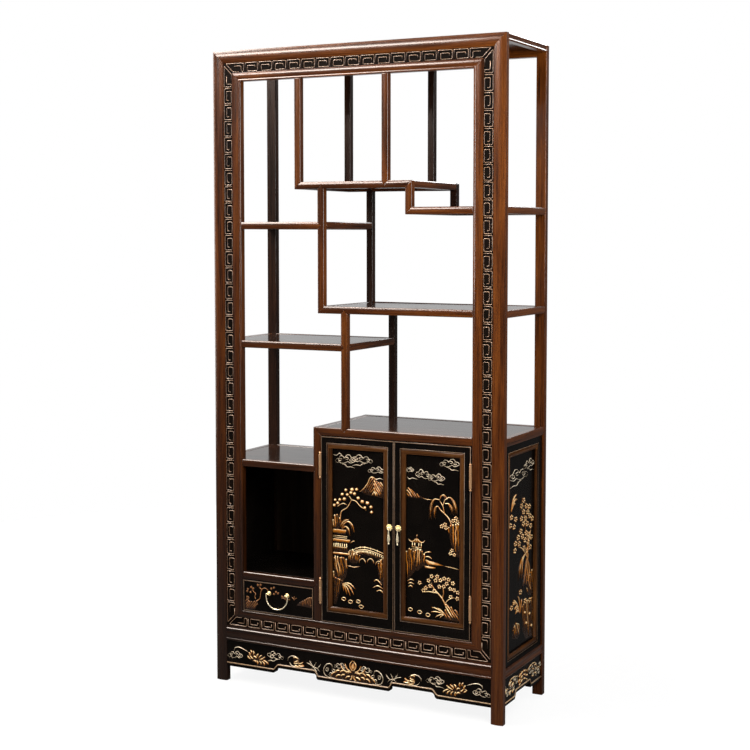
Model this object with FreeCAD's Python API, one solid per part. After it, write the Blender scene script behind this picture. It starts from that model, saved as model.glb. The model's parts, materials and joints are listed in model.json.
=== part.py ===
import FreeCAD, Part
import math
import os

# A tall display and book cabinet with stepped open shelves, a cubby over one drawer,
# and a two-door cupboard. Millimetres, Z up. The front faces -Y and +X is to the right.
# The origin is on the floor, under the middle.

V = FreeCAD.Vector

# Overall size of the woodwork
width = 990.0
depth = 345.0
height = 2000.0
overrun = 1.0                   # how far a cutting shape runs past what it cuts

# Timber of the frame
stock = 22.0                    # face frame, legs, posts and shelf rails, front to back
rail_crown = 2.0                # rise of a rounded face over its edges
back_leg_width = 33.0

# Bands across the moulded face frame, from its outer edge inward
outer_band = 38.0
outer_crown = 3.0
fret_band = 32.0
fret_recess = 4.0
stile_inner_band = 31.0
top_inner_band = 27.0
bottom_inner_band = 22.0
inner_level = 2.5
inner_crown = 1.5
bead_share = 0.26               # part of the inner band that is the bead at the opening
bead_level = 3.0
bead_crown = 2.6
bead_rise_share = 0.45          # most that a bead may rise, as part of its width

# Bottom rail
rail_underside = 133.0          # above the floor
foot_bead = 7.0
foot_cove = 23.0
foot_roll = 10.0
foot_fillet = 8.0               # flat, between the roll and the fret
foot_bead_crown = 1.5
foot_cove_crown = 2.0
foot_roll_crown = 3.0

# Meander fret
fret_pitch = 50.8
fret_gap = 2.8
fret_line = 3.2
fret_margin = 1.6
fret_rise = 1.5
fret_corner = 77.0              # length of a corner unit along the band's outer edge
fret_corner_gap = 2.2

# Open shelves: each top as a share of the height from the cupboard's top to the opening's top,
# and the posts' centre lines
post_width = 22.0
shelf_thick = 22.0
panel_thick = 10.0
panel_drop = 1.0
high_shelf_share = 0.704
step_shelf_share = 0.63
left_shelf_share = 0.59
middle_shelf_share = 0.3487
low_shelf_share = 0.2415
high_left_post_x = -190.0
high_post_x = 109.0
step_post_x = 187.5
centre_post_x = -109.0
low_post_x = -28.5

# Cupboard, cubby and drawer
cupboard_top = 839.0
cupboard_rail = 25.0
cubby_roof_drop = 119.0         # from the cupboard's top down to the cubby's roof
cupboard_post_x = -123.25
cupboard_post_width = 25.5
wall_thick = 12.0
back_thick = 10.0
drawer_rail_tall = 24.0

# Top of the cabinet
top_side_rail = 22.0
top_back_rail = 35.0
top_bead_crown = 2.0
top_panel_drop = 3.0

# Closed sides
side_inset = 6.0
side_frame_thick = 16.0
side_rail_tall = 27.0
side_stile = 29.5
side_bottom_rail = 17.0
side_top_rail = 22.0
panel_bead = 15.0
panel_bead_crown = 3.0
panel_recess = 9.0

# Doors
door_thick = 20.0
door_stile = 21.0
door_top_rail = 21.0
door_bottom_rail = 34.0
door_panel_far = 17.5           # from the door's face to the back of its panel
door_gap = 2.0
hinge_gap = 2.6

# Facets round the small brass work, and round its rosettes
facets = 8
rosette_facets = 12

# Hinges
leaf_thick = 1.0
leaf_width = 18.0
barrel_radius = 4.0
barrel_clear = 0.3
pin_radius = 2.0
pin_clear = 0.05
knuckle = 22.0
knuckle_gap = 0.2
finial_radius = 3.6
finial_tall = 8.6
finial_shares = ((0, 0.5), (0.27, 0.8), (0.57, 1), (0.86, 0.7), (1, 0.2))
hinge_from_top = 91.0
hinge_from_foot = 97.5

# Door pulls
pull_inset = 13.8
pull_height_share = 0.545       # of the cupboard's opening
rosette_radius = 10.5
rosette_thick = 1.6
rosette_boss = 6.5
rosette_boss_rise = 0.8
pull_standoff = 6.4
stud_radius = 2.4
stud_reach = 3.0
pull_pin_radius = 1.1
cheek_radius = 2.6
cheek_thick = 1.3
cheek_clear = 0.2
drop_length = 51.0
drop_radius = 4.5
drop_neck_share = 0.33
drop_shares = ((0.24, drop_neck_share), (0.42, 0.6), (0.66, 1), (0.78, 0.9), (0.88, drop_neck_share),
               (0.93, 0.49), (1, 0.15))

# Drawer
drawer_opening_tall = 102.0
drawer_gap = 1.5
drawer_front_thick = 18.0
drawer_front_set = 0.5
drawer_edge = 4.0
drawer_field_recess = 1.5
drawer_back_room = 35.0         # behind the closed drawer
drawer_side_thick = 10.0
drawer_side_gap = 3.0
drawer_bottom_thick = 6.0
drawer_bottom_lift = 6.0
drawer_head_room = 11.7         # over the drawer's sides
drawer_back_drop = 2.0
runner_base = 6.0
runner_width = 16.0
runner_guide = 7.5
runner_guide_tall = 26.0
slide_clear = 0.3
guide_clear = 0.5

# Drawer bail
bail_from_top = 36.0            # below the drawer rail
bail_spacing = 66.0
bail_arm = 7.5                  # straight, below each pivot
bail_wire = 1.9
bail_standoff = 6.4
bail_pin_radius = 1.3
bail_pin_past = 1.6             # beyond the post
bail_stud_radius = 3.6
bail_side_clear = 0.3
bail_washer_radius = 7.5
bail_washer_thick = 1.2
bail_steps = 6                  # straight pieces round the grip

# Aprons
apron_low = 49.0
apron_high = 66.0
apron_thick = 16.0
apron_set = 3.0
apron_bead = 8.0
apron_recess = 2.0
side_apron_set = 5.0
centre_lobe = 121.0
centre_slope = 15.0
end_lobe = 171.0
end_slope = 21.0
side_lobe = 84.5
side_slope = 10.0

# Places that follow from the sizes above
half_width = width / 2
flat_share = math.cos(math.pi / facets)
pull_reach = pull_standoff + drop_radius * flat_share
hardware_reach = max(pull_reach, 2 * barrel_radius + barrel_clear)
front_y = hardware_reach - (depth + hardware_reach) / 2
back_y = front_y + depth
inside_front = front_y + stock
inside_back = back_y - stock
opening_half = half_width - outer_band - fret_band - stile_inner_band
fret_half = half_width - outer_band
leg_inner = half_width - outer_band
back_opening = half_width - back_leg_width
bottom_outer_band = foot_bead + foot_cove + foot_roll + foot_fillet
fret_foot = rail_underside + bottom_outer_band
base_top = fret_foot + fret_band + bottom_inner_band
fret_head = height - outer_band
top_opening = fret_head - fret_band - top_inner_band
open_tall = top_opening - cupboard_top
high_shelf_top = cupboard_top + open_tall * high_shelf_share
step_shelf_top = cupboard_top + open_tall * step_shelf_share
left_shelf_top = cupboard_top + open_tall * left_shelf_share
middle_shelf_top = cupboard_top + open_tall * middle_shelf_share
low_shelf_top = cupboard_top + open_tall * low_shelf_share
cubby_roof_top = cupboard_top - cubby_roof_drop
wall_face = half_width - side_inset
wall_inside = wall_face - side_frame_thick
cupboard_left = cupboard_post_x - cupboard_post_width / 2
cupboard_inside = cupboard_post_x + cupboard_post_width / 2
partition_left = cupboard_post_x - wall_thick / 2
cupboard_head = cupboard_top - cupboard_rail
cubby_head = cubby_roof_top - shelf_thick
drawer_head = base_top + drawer_opening_tall
drawer_rail_top = drawer_head + drawer_rail_tall
drawer_length = depth - stock - drawer_back_room
drawer_side_tall = drawer_opening_tall - drawer_head_room - runner_base - slide_clear
door_seam = (cupboard_inside + opening_half) / 2
pin_y = front_y - barrel_clear - barrel_radius
upper_hinge_z = cupboard_head - hinge_from_top
lower_hinge_z = base_top + hinge_from_foot
pull_height = base_top + (cupboard_head - base_top) * pull_height_share
bail_height = drawer_head - bail_from_top


# Small helpers
def line(a, b):
    return Part.makeLine(a, b)


def arc(a, via, b):
    return Part.Arc(a, via, b).toShape()


def block(x0, x1, y0, y1, z0, z1):
    return Part.makeBox(x1 - x0, y1 - y0, z1 - z0, V(x0, y0, z0))


def cylinder(radius, length, base, direction):
    return Part.makeCylinder(radius, length, base, direction)


# A ring of flats round a centre, in the plane of u and v. Its flats lie nearer the centre than its corners.
def facet_ring(centre, u, v, radius, sides=facets):
    angles = [2 * math.pi * (index + 0.5) / sides for index in range(sides)]
    return [centre + u * (radius * math.cos(angle)) + v * (radius * math.sin(angle)) for angle in angles]


def flat_face(points):
    return Part.Face(Part.makePolygon(points + points[:1]))


# A closed solid whose flats join each ring of points to the next.
def ring_solid(rings):
    faces = [flat_face(rings[0]), flat_face(rings[-1])]
    for low, high in zip(rings, rings[1:]):
        for index, corner in enumerate(low):
            faces.append(flat_face([low[index - 1], corner, high[index], high[index - 1]]))
    return Part.makeSolid(Part.makeShell(faces))


def cross_axes(axis):
    u = V(0, 1, 0) if abs(axis.x) > 0 else V(1, 0, 0)
    return u, axis.cross(u)


def facet_rod(radius, length, base, axis, sides=facets):
    u, v = cross_axes(axis)
    return flat_face(facet_ring(base, u, v, radius, sides)).extrude(axis * length)


# A hole whose flats leave room for a round pin.
def facet_hole(pin, length, base, axis):
    return facet_rod((pin + pin_clear) / flat_share, length, base, axis)


# A turned form: rings of (distance along the axis, radius).
def turned(base, axis, rings):
    u, v = cross_axes(axis)
    return ring_solid([facet_ring(base + axis * along, u, v, radius) for along, radius in rings])


def group(shapes):
    return Part.makeCompound(shapes)


def mirror_x(shape):
    return shape.mirror(V(0, 0, 0), V(1, 0, 0))


# Faces are drawn in a plain front view: h to the right, v up, and depth going in from the face.
def on_front(shape, y):
    placed = shape.copy()
    placed.translate(V(0, y, 0))
    return placed


def on_back(shape, y):
    return on_front(shape.mirror(V(0, 0, 0), V(0, 1, 0)), y)


def on_right(shape, x):
    placed = shape.copy()
    placed.rotate(V(0, 0, 0), V(0, 0, 1), 90)
    placed.translate(V(x, 0, 0))
    return placed


def on_left(shape, x):
    placed = shape.copy()
    placed.rotate(V(0, 0, 0), V(0, 0, 1), -90)
    placed.translate(V(x, 0, 0))
    return placed


def plate(outline, near, far):
    return flat_face([V(h, near, v) for h, v in outline]).extrude(V(0, far - near, 0))


def rectangle(h0, h1, v0, v1):
    return [(h0, v0), (h1, v0), (h1, v1), (h0, v1)]


# A board's cross section: bands of (start, end, depth of the edges, crown over them), then a flat back.
def moulded_section(place, bands, thick):
    edges = []
    corner = None
    for start, end, level, crown in bands:
        first = place(start, level)
        last = place(end, level)
        if corner is not None and corner.distanceToPoint(first) > 0:
            edges.append(line(corner, first))
        if crown > 0:
            edges.append(arc(first, place((start + end) / 2, level - crown), last))
        else:
            edges.append(line(first, last))
        corner = last
    near = place(bands[0][0], bands[0][2])
    far_end = place(bands[-1][1], thick)
    far_start = place(bands[0][0], thick)
    edges.append(line(corner, far_end))
    edges.append(line(far_end, far_start))
    edges.append(line(far_start, near))
    return Part.Face(Part.Wire(edges))


# A bar with a rounded face, cut to its outline in the front view.
def bar(outline, along, thick, crown):
    hs = [point[0] for point in outline]
    vs = [point[1] for point in outline]
    h0, v0 = min(hs), min(vs)
    long_h, long_v = max(hs) - h0, max(vs) - v0
    if along == "h":
        section = moulded_section(lambda u, d: V(h0, d, v0 + u), [(0, long_v, crown, crown)], thick)
        blank = section.extrude(V(long_h, 0, 0))
    else:
        section = moulded_section(lambda u, d: V(h0 + u, d, v0), [(0, long_h, crown, crown)], thick)
        blank = section.extrude(V(0, 0, long_v))
    if len(outline) == 4 and set(outline) == set(rectangle(h0, max(hs), v0, max(vs))):
        return blank
    return blank.common(plate(outline, -overrun, thick + overrun))


# Four bars round a rectangular hole, with mitred corners.
def mitred_frame(outer, inner, thick, crown=0):
    h0, h1, v0, v1 = outer
    a0, a1, b0, b1 = inner
    return [
        bar([(h0, v0), (h1, v0), (a1, b0), (a0, b0)], "h", thick, crown),
        bar([(h0, v1), (h1, v1), (a1, b1), (a0, b1)], "h", thick, crown),
        bar([(h0, v0), (a0, b0), (a0, b1), (h0, v1)], "v", thick, crown),
        bar([(h1, v0), (a1, b0), (a1, b1), (h1, v1)], "v", thick, crown),
    ]


def inset_by(rect, left, right, bottom, top):
    return (rect[0] + left, rect[1] - right, rect[2] + bottom, rect[3] - top)


# One end of a bar, from its low edge to its high edge.
def bar_end(a, low, high, kind, outward, mate):
    if kind == "point":
        return [(a, low), (a + outward * (high - low) / 2, (low + high) / 2), (a, high)]
    if kind == "mitre_low":
        return [(a, low), (a - outward * mate, high)]
    if kind == "mitre_high":
        return [(a - outward * mate, low), (a, high)]
    return [(a, low), (a, high)]


def bar_outline(a0, a1, low, high, start, end, mate=post_width):
    first = bar_end(a0, low, high, start, -1, mate)
    last = bar_end(a1, low, high, end, 1, mate)
    return first[::-1] + last


def post_outline(x0, x1, z0, z1, start, end, mate=shelf_thick):
    return [(across, along) for along, across in bar_outline(z0, z1, x0, x1, start, end, mate)]


# The notch that a pointed end sits in.
def tip_from_left(x, z0, z1):
    return through([(x, z0), (x + (z1 - z0) / 2, (z0 + z1) / 2), (x, z1)])


def tip_from_below(z, x0, x1):
    return through([(x0, z), ((x0 + x1) / 2, z + (x1 - x0) / 2), (x1, z)])


def tip_from_above(z, x0, x1):
    return through([(x0, z), ((x0 + x1) / 2, z - (x1 - x0) / 2), (x1, z)])


def notched(shape, tips):
    for tip in tips:
        shape = shape.cut(tip)
    return shape


# A cut through the whole thickness of the frame's timber.
def through(outline):
    return plate(outline, -overrun, stock + overrun)


# A front piece with a rounded face, and the same piece at the back with a flat one.
def front_and_back(make):
    return [on_front(make(rail_crown), front_y), on_back(make(0), back_y)]


# Moulded face frame
def inner_bands(start, across):
    bead = across * bead_share
    crown = min(bead_crown, bead * bead_rise_share)
    return [(start, start + across - bead, inner_level, inner_crown),
            (start + across - bead, start + across, bead_level, crown)]


def stile_bands(across):
    fret_start = outer_band
    inner_start = outer_band + fret_band
    bands = [(0, fret_start, outer_crown, outer_crown), (fret_start, inner_start, fret_recess, 0)]
    return bands + inner_bands(inner_start, across)


def bottom_bands():
    cove = foot_bead
    roll = cove + foot_cove
    fillet = roll + foot_roll
    fret_start = fillet + foot_fillet
    inner_start = fret_start + fret_band
    bands = [(0, cove, foot_bead_crown, foot_bead_crown), (cove, roll, foot_roll_crown, foot_cove_crown),
             (roll, fillet, foot_roll_crown, foot_roll_crown), (fillet, fret_start, foot_roll_crown, 0),
             (fret_start, inner_start, fret_recess, 0)]
    return bands + inner_bands(inner_start, bottom_inner_band)


def right_stile():
    section = moulded_section(lambda u, d: V(half_width - u, d, 0), stile_bands(stile_inner_band), stock)
    inner_corner = opening_half + stile_inner_band
    outline = [(half_width, 0), (half_width, height), (inner_corner, fret_head - fret_band),
               (opening_half, top_opening), (opening_half, base_top),
               (inner_corner, fret_foot + fret_band), (leg_inner, fret_foot), (leg_inner, 0)]
    return on_front(section.extrude(V(0, 0, height)).common(through(outline)), front_y)


def top_face_rail():
    bands = stile_bands(top_inner_band)
    section = moulded_section(lambda u, d: V(-half_width, d, height - u), bands, stock)
    inner_corner = opening_half + stile_inner_band
    outline = [(-half_width, height), (half_width, height), (inner_corner, fret_head - fret_band),
               (opening_half, top_opening), (-opening_half, top_opening),
               (-inner_corner, fret_head - fret_band)]
    return on_front(section.extrude(V(width, 0, 0)).common(through(outline)), front_y)


def bottom_face_rail():
    section = moulded_section(lambda u, d: V(-leg_inner, d, rail_underside + u), bottom_bands(), stock)
    inner_corner = opening_half + stile_inner_band
    past = leg_inner + overrun
    outline = [(-past, rail_underside - overrun), (past, rail_underside - overrun),
               (past, fret_foot - overrun), (inner_corner, fret_foot + fret_band), (opening_half, base_top),
               (-opening_half, base_top), (-inner_corner, fret_foot + fret_band), (-past, fret_foot - overrun)]
    rail = section.extrude(V(2 * leg_inner, 0, 0))
    return on_front(rail.common(through(outline)), front_y)


# The outline of a flat line that follows a path of straight runs, mitred where it turns.
def ribbon(path, across):
    def side(sign):
        points = []
        for index, point in enumerate(path):
            normals = []
            for first, last in ((index - 1, index), (index, index + 1)):
                if first < 0 or last >= len(path):
                    continue
                run = (path[last][0] - path[first][0], path[last][1] - path[first][1])
                length = math.hypot(run[0], run[1])
                normals.append((-run[1] / length, run[0] / length))
            total = (sum(n[0] for n in normals), sum(n[1] for n in normals))
            size = (total[0] * normals[0][0] + total[1] * normals[0][1]) / across * 2
            points.append((point[0] + sign * total[0] / size, point[1] + sign * total[1] / size))
        return points
    return side(1) + side(-1)[::-1]


# One hook of the meander. s runs along the band and t from its outer edge inward.
def hook_path(start, length):
    low = fret_margin + fret_line / 2
    high = fret_band - low
    near = start + fret_gap / 2 + fret_line / 2
    far = start + length - fret_gap / 2 - fret_line / 2
    turn = (high - low) / 3
    return [(near, high), (near, low), (far, low), (far, high), (near + turn, high),
            (near + turn, low + turn), (far - turn, low + turn), (far - turn, high - turn)]


# The hook at a corner, whose end is cut along the mitre.
def corner_path():
    low = fret_margin + fret_line / 2
    high = fret_band - low
    turn = (high - low) / 3
    slant = low + fret_corner_gap + fret_line / 2
    far = fret_corner - fret_gap / 2 - fret_line / 2
    back = far - turn
    return [(slant + high - low + turn, low + turn), (back, low + turn), (back, high), (far, high),
            (far, low), (slant + low, low), (slant + high, high), (back - turn, high)]


def fret_side(place, length):
    run = length - 2 * fret_corner
    count = max(1, round(run / fret_pitch))
    pitch = run / count
    paths = [corner_path(), [(length - s, t) for s, t in corner_path()]]
    paths += [hook_path(fret_corner + index * pitch, pitch) for index in range(count)]
    ground = front_y + fret_recess
    outlines = [[place(s, t) for s, t in ribbon(path, fret_line)] for path in paths]
    return [plate(outline, ground - fret_rise, ground) for outline in outlines]


def fret_border():
    tall = fret_head - fret_foot
    long = 2 * fret_half
    sides = fret_side(lambda s, t: (s - fret_half, fret_head - t), long)
    sides += fret_side(lambda s, t: (s - fret_half, fret_foot + t), long)
    sides += fret_side(lambda s, t: (t - fret_half, fret_head - s), tall)
    sides += fret_side(lambda s, t: (fret_half - t, fret_head - s), tall)
    return group(sides)


# Back legs and the frame of the top
def back_legs():
    leg = block(back_opening, half_width, inside_back, back_y, 0, height)
    return group([leg, mirror_x(leg)])


def top_rails():
    third = top_side_rail / 3
    bands = [(0, third, top_bead_crown, top_bead_crown), (third, 2 * third, top_bead_crown, 0),
             (2 * third, 3 * third, top_bead_crown, top_bead_crown)]
    section = moulded_section(lambda u, d: V(inside_front, d, height - u), bands, stock)
    side = on_right(section.extrude(V(inside_back - inside_front, 0, 0)), half_width)
    back = block(-back_opening, back_opening, inside_back, back_y, height - top_back_rail, height)
    return group([side, mirror_x(side), back])


def top_panel():
    edge = half_width - stock
    top = height - top_panel_drop
    return block(-edge, edge, inside_front, inside_back, top - panel_thick, top)


# Open shelves. An end is None at the cabinet's side, or (post's centre, post's width, kind of joint).
def side_rail(centre, across, face, top, tall):
    outline = rectangle(inside_front, inside_back, top - tall, top)
    if face > 0:
        return on_right(bar(outline, "h", across, rail_crown), centre + across / 2)
    outline = rectangle(-inside_back, -inside_front, top - tall, top)
    return on_left(bar(outline, "h", across, rail_crown), centre - across / 2)


def end_places(end, sign):
    side_centre = sign * (half_width - stock / 2)
    if end is None:
        return sign * opening_half, sign * back_opening, "square", side_centre, stock
    centre, across, kind = end
    edge = centre + sign * across / 2
    if kind == "point":
        edge = centre - sign * across / 2
    return edge, edge, kind, centre, across


def shelf_rails(top, tall, left, right, tips=(), with_right_side=True):
    left_front, left_back, left_kind, left_centre, left_across = end_places(left, -1)
    right_front, right_back, right_kind, right_centre, right_across = end_places(right, 1)
    mate = left_across if left is not None else right_across
    front = bar_outline(left_front, right_front, top - tall, top, left_kind, right_kind, mate)
    back = bar_outline(left_back, right_back, top - tall, top, left_kind, right_kind, mate)
    shapes = [on_front(notched(bar(front, "h", stock, rail_crown), tips), front_y),
              on_back(notched(bar(back, "h", stock, 0), tips), back_y)]
    shapes.append(side_rail(left_centre, left_across, -1, top, tall))
    if with_right_side:
        shapes.append(side_rail(right_centre, right_across, 1, top, tall))
    return group(shapes)


def shelf_panel(top, left_edge, right_edge):
    upper = top - panel_drop
    return block(left_edge, right_edge, inside_front, inside_back, upper - panel_thick, upper)


def edge_of(centre, side):
    return centre + side * post_width / 2


side_rail_inside = half_width - stock


def high_shelf():
    left = (high_left_post_x, post_width, "mitre_low")
    right = (step_post_x, post_width, "mitre_high")
    underside = high_shelf_top - shelf_thick
    tips = [tip_from_above(high_shelf_top, edge_of(high_post_x, -1), edge_of(high_post_x, 1)),
            tip_from_below(underside, edge_of(centre_post_x, -1), edge_of(centre_post_x, 1))]
    rails = shelf_rails(high_shelf_top, shelf_thick, left, right, tips)
    return rails, shelf_panel(high_shelf_top, edge_of(high_left_post_x, 1), edge_of(step_post_x, -1))


def step_shelf():
    rails = shelf_rails(step_shelf_top, shelf_thick, (step_post_x, post_width, "mitre_low"), None)
    return rails, shelf_panel(step_shelf_top, edge_of(step_post_x, 1), side_rail_inside)


def left_shelf():
    rails = shelf_rails(left_shelf_top, shelf_thick, None, (centre_post_x, post_width, "point"))
    return rails, shelf_panel(left_shelf_top, -side_rail_inside, edge_of(centre_post_x, -1))


def middle_shelf():
    tips = [tip_from_below(middle_shelf_top - shelf_thick, edge_of(low_post_x, -1), edge_of(low_post_x, 1))]
    rails = shelf_rails(middle_shelf_top, shelf_thick, (centre_post_x, post_width, "mitre_low"), None, tips)
    return rails, shelf_panel(middle_shelf_top, edge_of(centre_post_x, 1), side_rail_inside)


def low_shelf():
    rails = shelf_rails(low_shelf_top, shelf_thick, None, (low_post_x, post_width, "point"))
    return rails, shelf_panel(low_shelf_top, -side_rail_inside, edge_of(low_post_x, -1))


def cubby_roof():
    right = (cupboard_post_x, cupboard_post_width, "point")
    rails = shelf_rails(cubby_roof_top, shelf_thick, None, right, (), False)
    return rails, shelf_panel(cubby_roof_top, -side_rail_inside, partition_left)


def cupboard_roof():
    left = (cupboard_post_x, cupboard_post_width, "mitre_high")
    tips = [tip_from_above(cupboard_top, edge_of(low_post_x, -1), edge_of(low_post_x, 1))]
    rails = shelf_rails(cupboard_top, cupboard_rail, left, None, tips)
    return rails, shelf_panel(cupboard_top, cupboard_inside, side_rail_inside)


# Posts of the open shelves, each a front and back pair
def post(crown, centre, z0, z1, foot, head, tips=(), across=post_width, mate=shelf_thick):
    x0, x1 = centre - across / 2, centre + across / 2
    return notched(bar(post_outline(x0, x1, z0, z1, foot, head, mate), "v", stock, crown), tips)


# The back posts that reach the top run past the front ones, because the back rail there is narrower.
def top_posts(centre, z0, foot):
    front = post(rail_crown, centre, z0, top_opening, foot, "square")
    back = post(0, centre, z0, height - top_back_rail, foot, "square")
    return group([on_front(front, front_y), on_back(back, back_y)])


def high_left_posts():
    return top_posts(high_left_post_x, high_shelf_top - shelf_thick, "mitre_low")


def high_posts():
    return top_posts(high_post_x, high_shelf_top, "point")


def step_posts():
    foot = step_shelf_top - shelf_thick
    return group(front_and_back(
        lambda crown: post(crown, step_post_x, foot, high_shelf_top, "mitre_low", "mitre_high")))


def centre_posts():
    foot, head = middle_shelf_top - shelf_thick, high_shelf_top - shelf_thick
    tips = [tip_from_left(edge_of(centre_post_x, -1), left_shelf_top - shelf_thick, left_shelf_top)]
    return group(front_and_back(
        lambda crown: post(crown, centre_post_x, foot, head, "mitre_low", "point", tips)))


def low_posts():
    head = middle_shelf_top - shelf_thick
    tips = [tip_from_left(edge_of(low_post_x, -1), low_shelf_top - shelf_thick, low_shelf_top)]
    return group(front_and_back(
        lambda crown: post(crown, low_post_x, cupboard_top, head, "point", "point", tips)))


def cupboard_posts():
    tips = [tip_from_left(cupboard_left, cubby_head, cubby_roof_top)]
    rail_tip = tip_from_left(cupboard_left, drawer_head, drawer_rail_top)
    front, back = front_and_back(
        lambda crown: post(crown, cupboard_post_x, base_top, cupboard_top, "square", "mitre_low", tips,
                           cupboard_post_width, cupboard_rail))
    return group([front.cut(on_front(rail_tip, front_y)), back])


# Lower carcass
def base_rails():
    third = side_rail_tall / 3
    bands = [(0, third, top_bead_crown, top_bead_crown), (third, 2 * third, top_bead_crown, 0),
             (2 * third, 3 * third, top_bead_crown, top_bead_crown)]
    section = moulded_section(lambda u, d: V(inside_front, d, rail_underside + u), bands, stock)
    side = on_right(section.extrude(V(inside_back - inside_front, 0, 0)), half_width)
    back = block(-back_opening, back_opening, inside_back, back_y, rail_underside, base_top)
    return group([side, mirror_x(side), back])


def base_floor():
    return block(-wall_inside, wall_inside, inside_front, inside_back, base_top - wall_thick, base_top)


def cubby_floor():
    return block(-wall_inside, partition_left, inside_front, inside_back, drawer_rail_top - wall_thick,
                 drawer_rail_top)


def partition_panel():
    right = partition_left + wall_thick
    return block(partition_left, right, inside_front, inside_back, base_top, cupboard_head)


def drawer_rail():
    outline = bar_outline(-opening_half, cupboard_left, drawer_head, drawer_rail_top, "square", "point")
    return on_front(bar(outline, "h", stock, rail_crown), front_y)


def back_panels():
    far = inside_back + back_thick
    cupboard = block(cupboard_inside, back_opening, inside_back, far, base_top, cupboard_head)
    cubby = block(-back_opening, cupboard_left, inside_back, far, base_top, cubby_head)
    return group([cupboard, cubby])


# Closed sides: a mitred frame, a rounded bead inside it, and a panel that the bead lies on.
def side_rect(head):
    return (inside_front, inside_back, rail_underside + side_rail_tall, head)


def panelled(outer, stile, bottom, top, thick, panel_far):
    hole = inset_by(outer, stile, stile, bottom, top)
    inner = inset_by(hole, panel_bead, panel_bead, panel_bead, panel_bead)
    frame = group(mitred_frame(outer, hole, thick))
    bead = group(mitred_frame(hole, inner, panel_recess, panel_bead_crown))
    panel = plate(rectangle(*hole), panel_recess, panel_far)
    return frame, bead, panel


def side_wall(head):
    return panelled(side_rect(head), side_stile, side_bottom_rail, side_top_rail, side_frame_thick,
                    side_frame_thick)


def right_side():
    return [on_right(shape, wall_face) for shape in side_wall(cupboard_head)]


def left_side():
    return [mirror_x(on_right(shape, wall_face)) for shape in side_wall(cubby_head)]


# Aprons under the frame, with stepped lobes
def step_arcs(h0, v0, h1, v1):
    across, rise = h1 - h0, v1 - v0
    turn = math.atan(abs(rise / across))
    radius = (across * across + rise * rise) / (4 * abs(rise))
    reach = radius * math.sin(turn)
    lift = math.copysign(radius * (1 - math.cos(turn)), rise)
    middle = V((h0 + h1) / 2, 0, (v0 + v1) / 2)
    return [arc(V(h0, 0, v0), V(h0 + reach, 0, v0 + lift), middle),
            arc(middle, V(h1 - reach, 0, v1 - lift), V(h1, 0, v1))]


def apron_face(stations, head, lift):
    edges = []
    for (h0, v0), (h1, v1) in zip(stations, stations[1:]):
        if v0 == v1:
            edges.append(line(V(h0, 0, v0 + lift), V(h1, 0, v1 + lift)))
        else:
            edges += step_arcs(h0, v0 + lift, h1, v1 + lift)
    left, right = stations[0], stations[-1]
    edges.append(line(V(right[0], 0, right[1] + lift), V(right[0], 0, head)))
    edges.append(line(V(right[0], 0, head), V(left[0], 0, head)))
    edges.append(line(V(left[0], 0, head), V(left[0], 0, left[1] + lift)))
    return Part.Face(Part.Wire(edges))


def apron(stations):
    return apron_face(stations, rail_underside, 0).extrude(V(0, apron_thick, 0))


def both_ways(half_stations):
    return [(-h, v) for h, v in half_stations[::-1]] + half_stations


def front_apron():
    half = [(centre_lobe, apron_low), (centre_lobe + centre_slope, apron_high),
            (leg_inner - end_lobe - end_slope, apron_high), (leg_inner - end_lobe, apron_low),
            (leg_inner, apron_low)]
    stations = both_ways(half)
    pocket = apron_face(stations, rail_underside + overrun, apron_bead).extrude(V(0, apron_recess, 0))
    return on_front(apron(stations).cut(pocket), front_y + apron_set)


def side_aprons():
    middle = (inside_front + inside_back) / 2
    half_side = (inside_back - inside_front) / 2
    half = [(half_side - side_lobe - side_slope, apron_high), (half_side - side_lobe, apron_low),
            (half_side, apron_low)]
    side = on_right(apron([(h + middle, v) for h, v in both_ways(half)]), half_width - side_apron_set)
    return group([side, mirror_x(side)])


# Doors
door_left_edge = cupboard_inside + hinge_gap
door_right_edge = opening_half - hinge_gap


def door(x0, x1):
    outer = (x0, x1, base_top + door_gap, cupboard_head - door_gap)
    parts = panelled(outer, door_stile, door_bottom_rail, door_top_rail, door_thick, door_panel_far)
    return [on_front(shape, front_y) for shape in parts]


# Hinges. x is the pin's place, and side is 1 where the door lies to its right.
def barrel_length():
    return 3 * knuckle + 2 * knuckle_gap


def hinge_place(side):
    if side > 0:
        return cupboard_inside + hinge_gap / 2
    return opening_half - hinge_gap / 2


def leaf(x, side, wall, z, z_list, whole):
    near = side * wall * (hinge_gap / 2 - leaf_thick)
    far = side * wall * (hinge_gap / 2)
    x0, x1 = sorted((x + near, x + far))
    up = V(0, 0, 1)
    shape = block(x0, x1, front_y, front_y + leaf_width, z, z + whole)
    for start in z_list:
        shape = shape.fuse(facet_rod(barrel_radius, knuckle, V(x, pin_y, start), up))
        shape = shape.fuse(block(x0, x1, pin_y, front_y, start, start + knuckle))
    hole = facet_hole(pin_radius, whole + 2 * overrun, V(x, pin_y, z - overrun), up)
    return shape.cut(hole).removeSplitter()


def cabinet_leaf(side, middle_z):
    x = hinge_place(side)
    z = middle_z - barrel_length() / 2
    return leaf(x, side, -1, z, [z, z + 2 * (knuckle + knuckle_gap)], barrel_length())


def door_leaf(side, middle_z):
    x = hinge_place(side)
    z = middle_z - barrel_length() / 2
    return leaf(x, side, 1, z, [z + knuckle + knuckle_gap], barrel_length())


def hinge_pin(side, middle_z):
    x = hinge_place(side)
    z = middle_z - barrel_length() / 2
    rings = [(finial_tall * along, finial_radius * radius) for along, radius in finial_shares]
    pin = cylinder(pin_radius, barrel_length(), V(x, pin_y, z), V(0, 0, 1))
    for end, sign in ((z, -1), (z + barrel_length(), 1)):
        pin = pin.fuse(turned(V(x, pin_y, end), V(0, 0, sign), rings))
    return pin.removeSplitter()


hinge_levels = (upper_hinge_z, lower_hinge_z)


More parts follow.
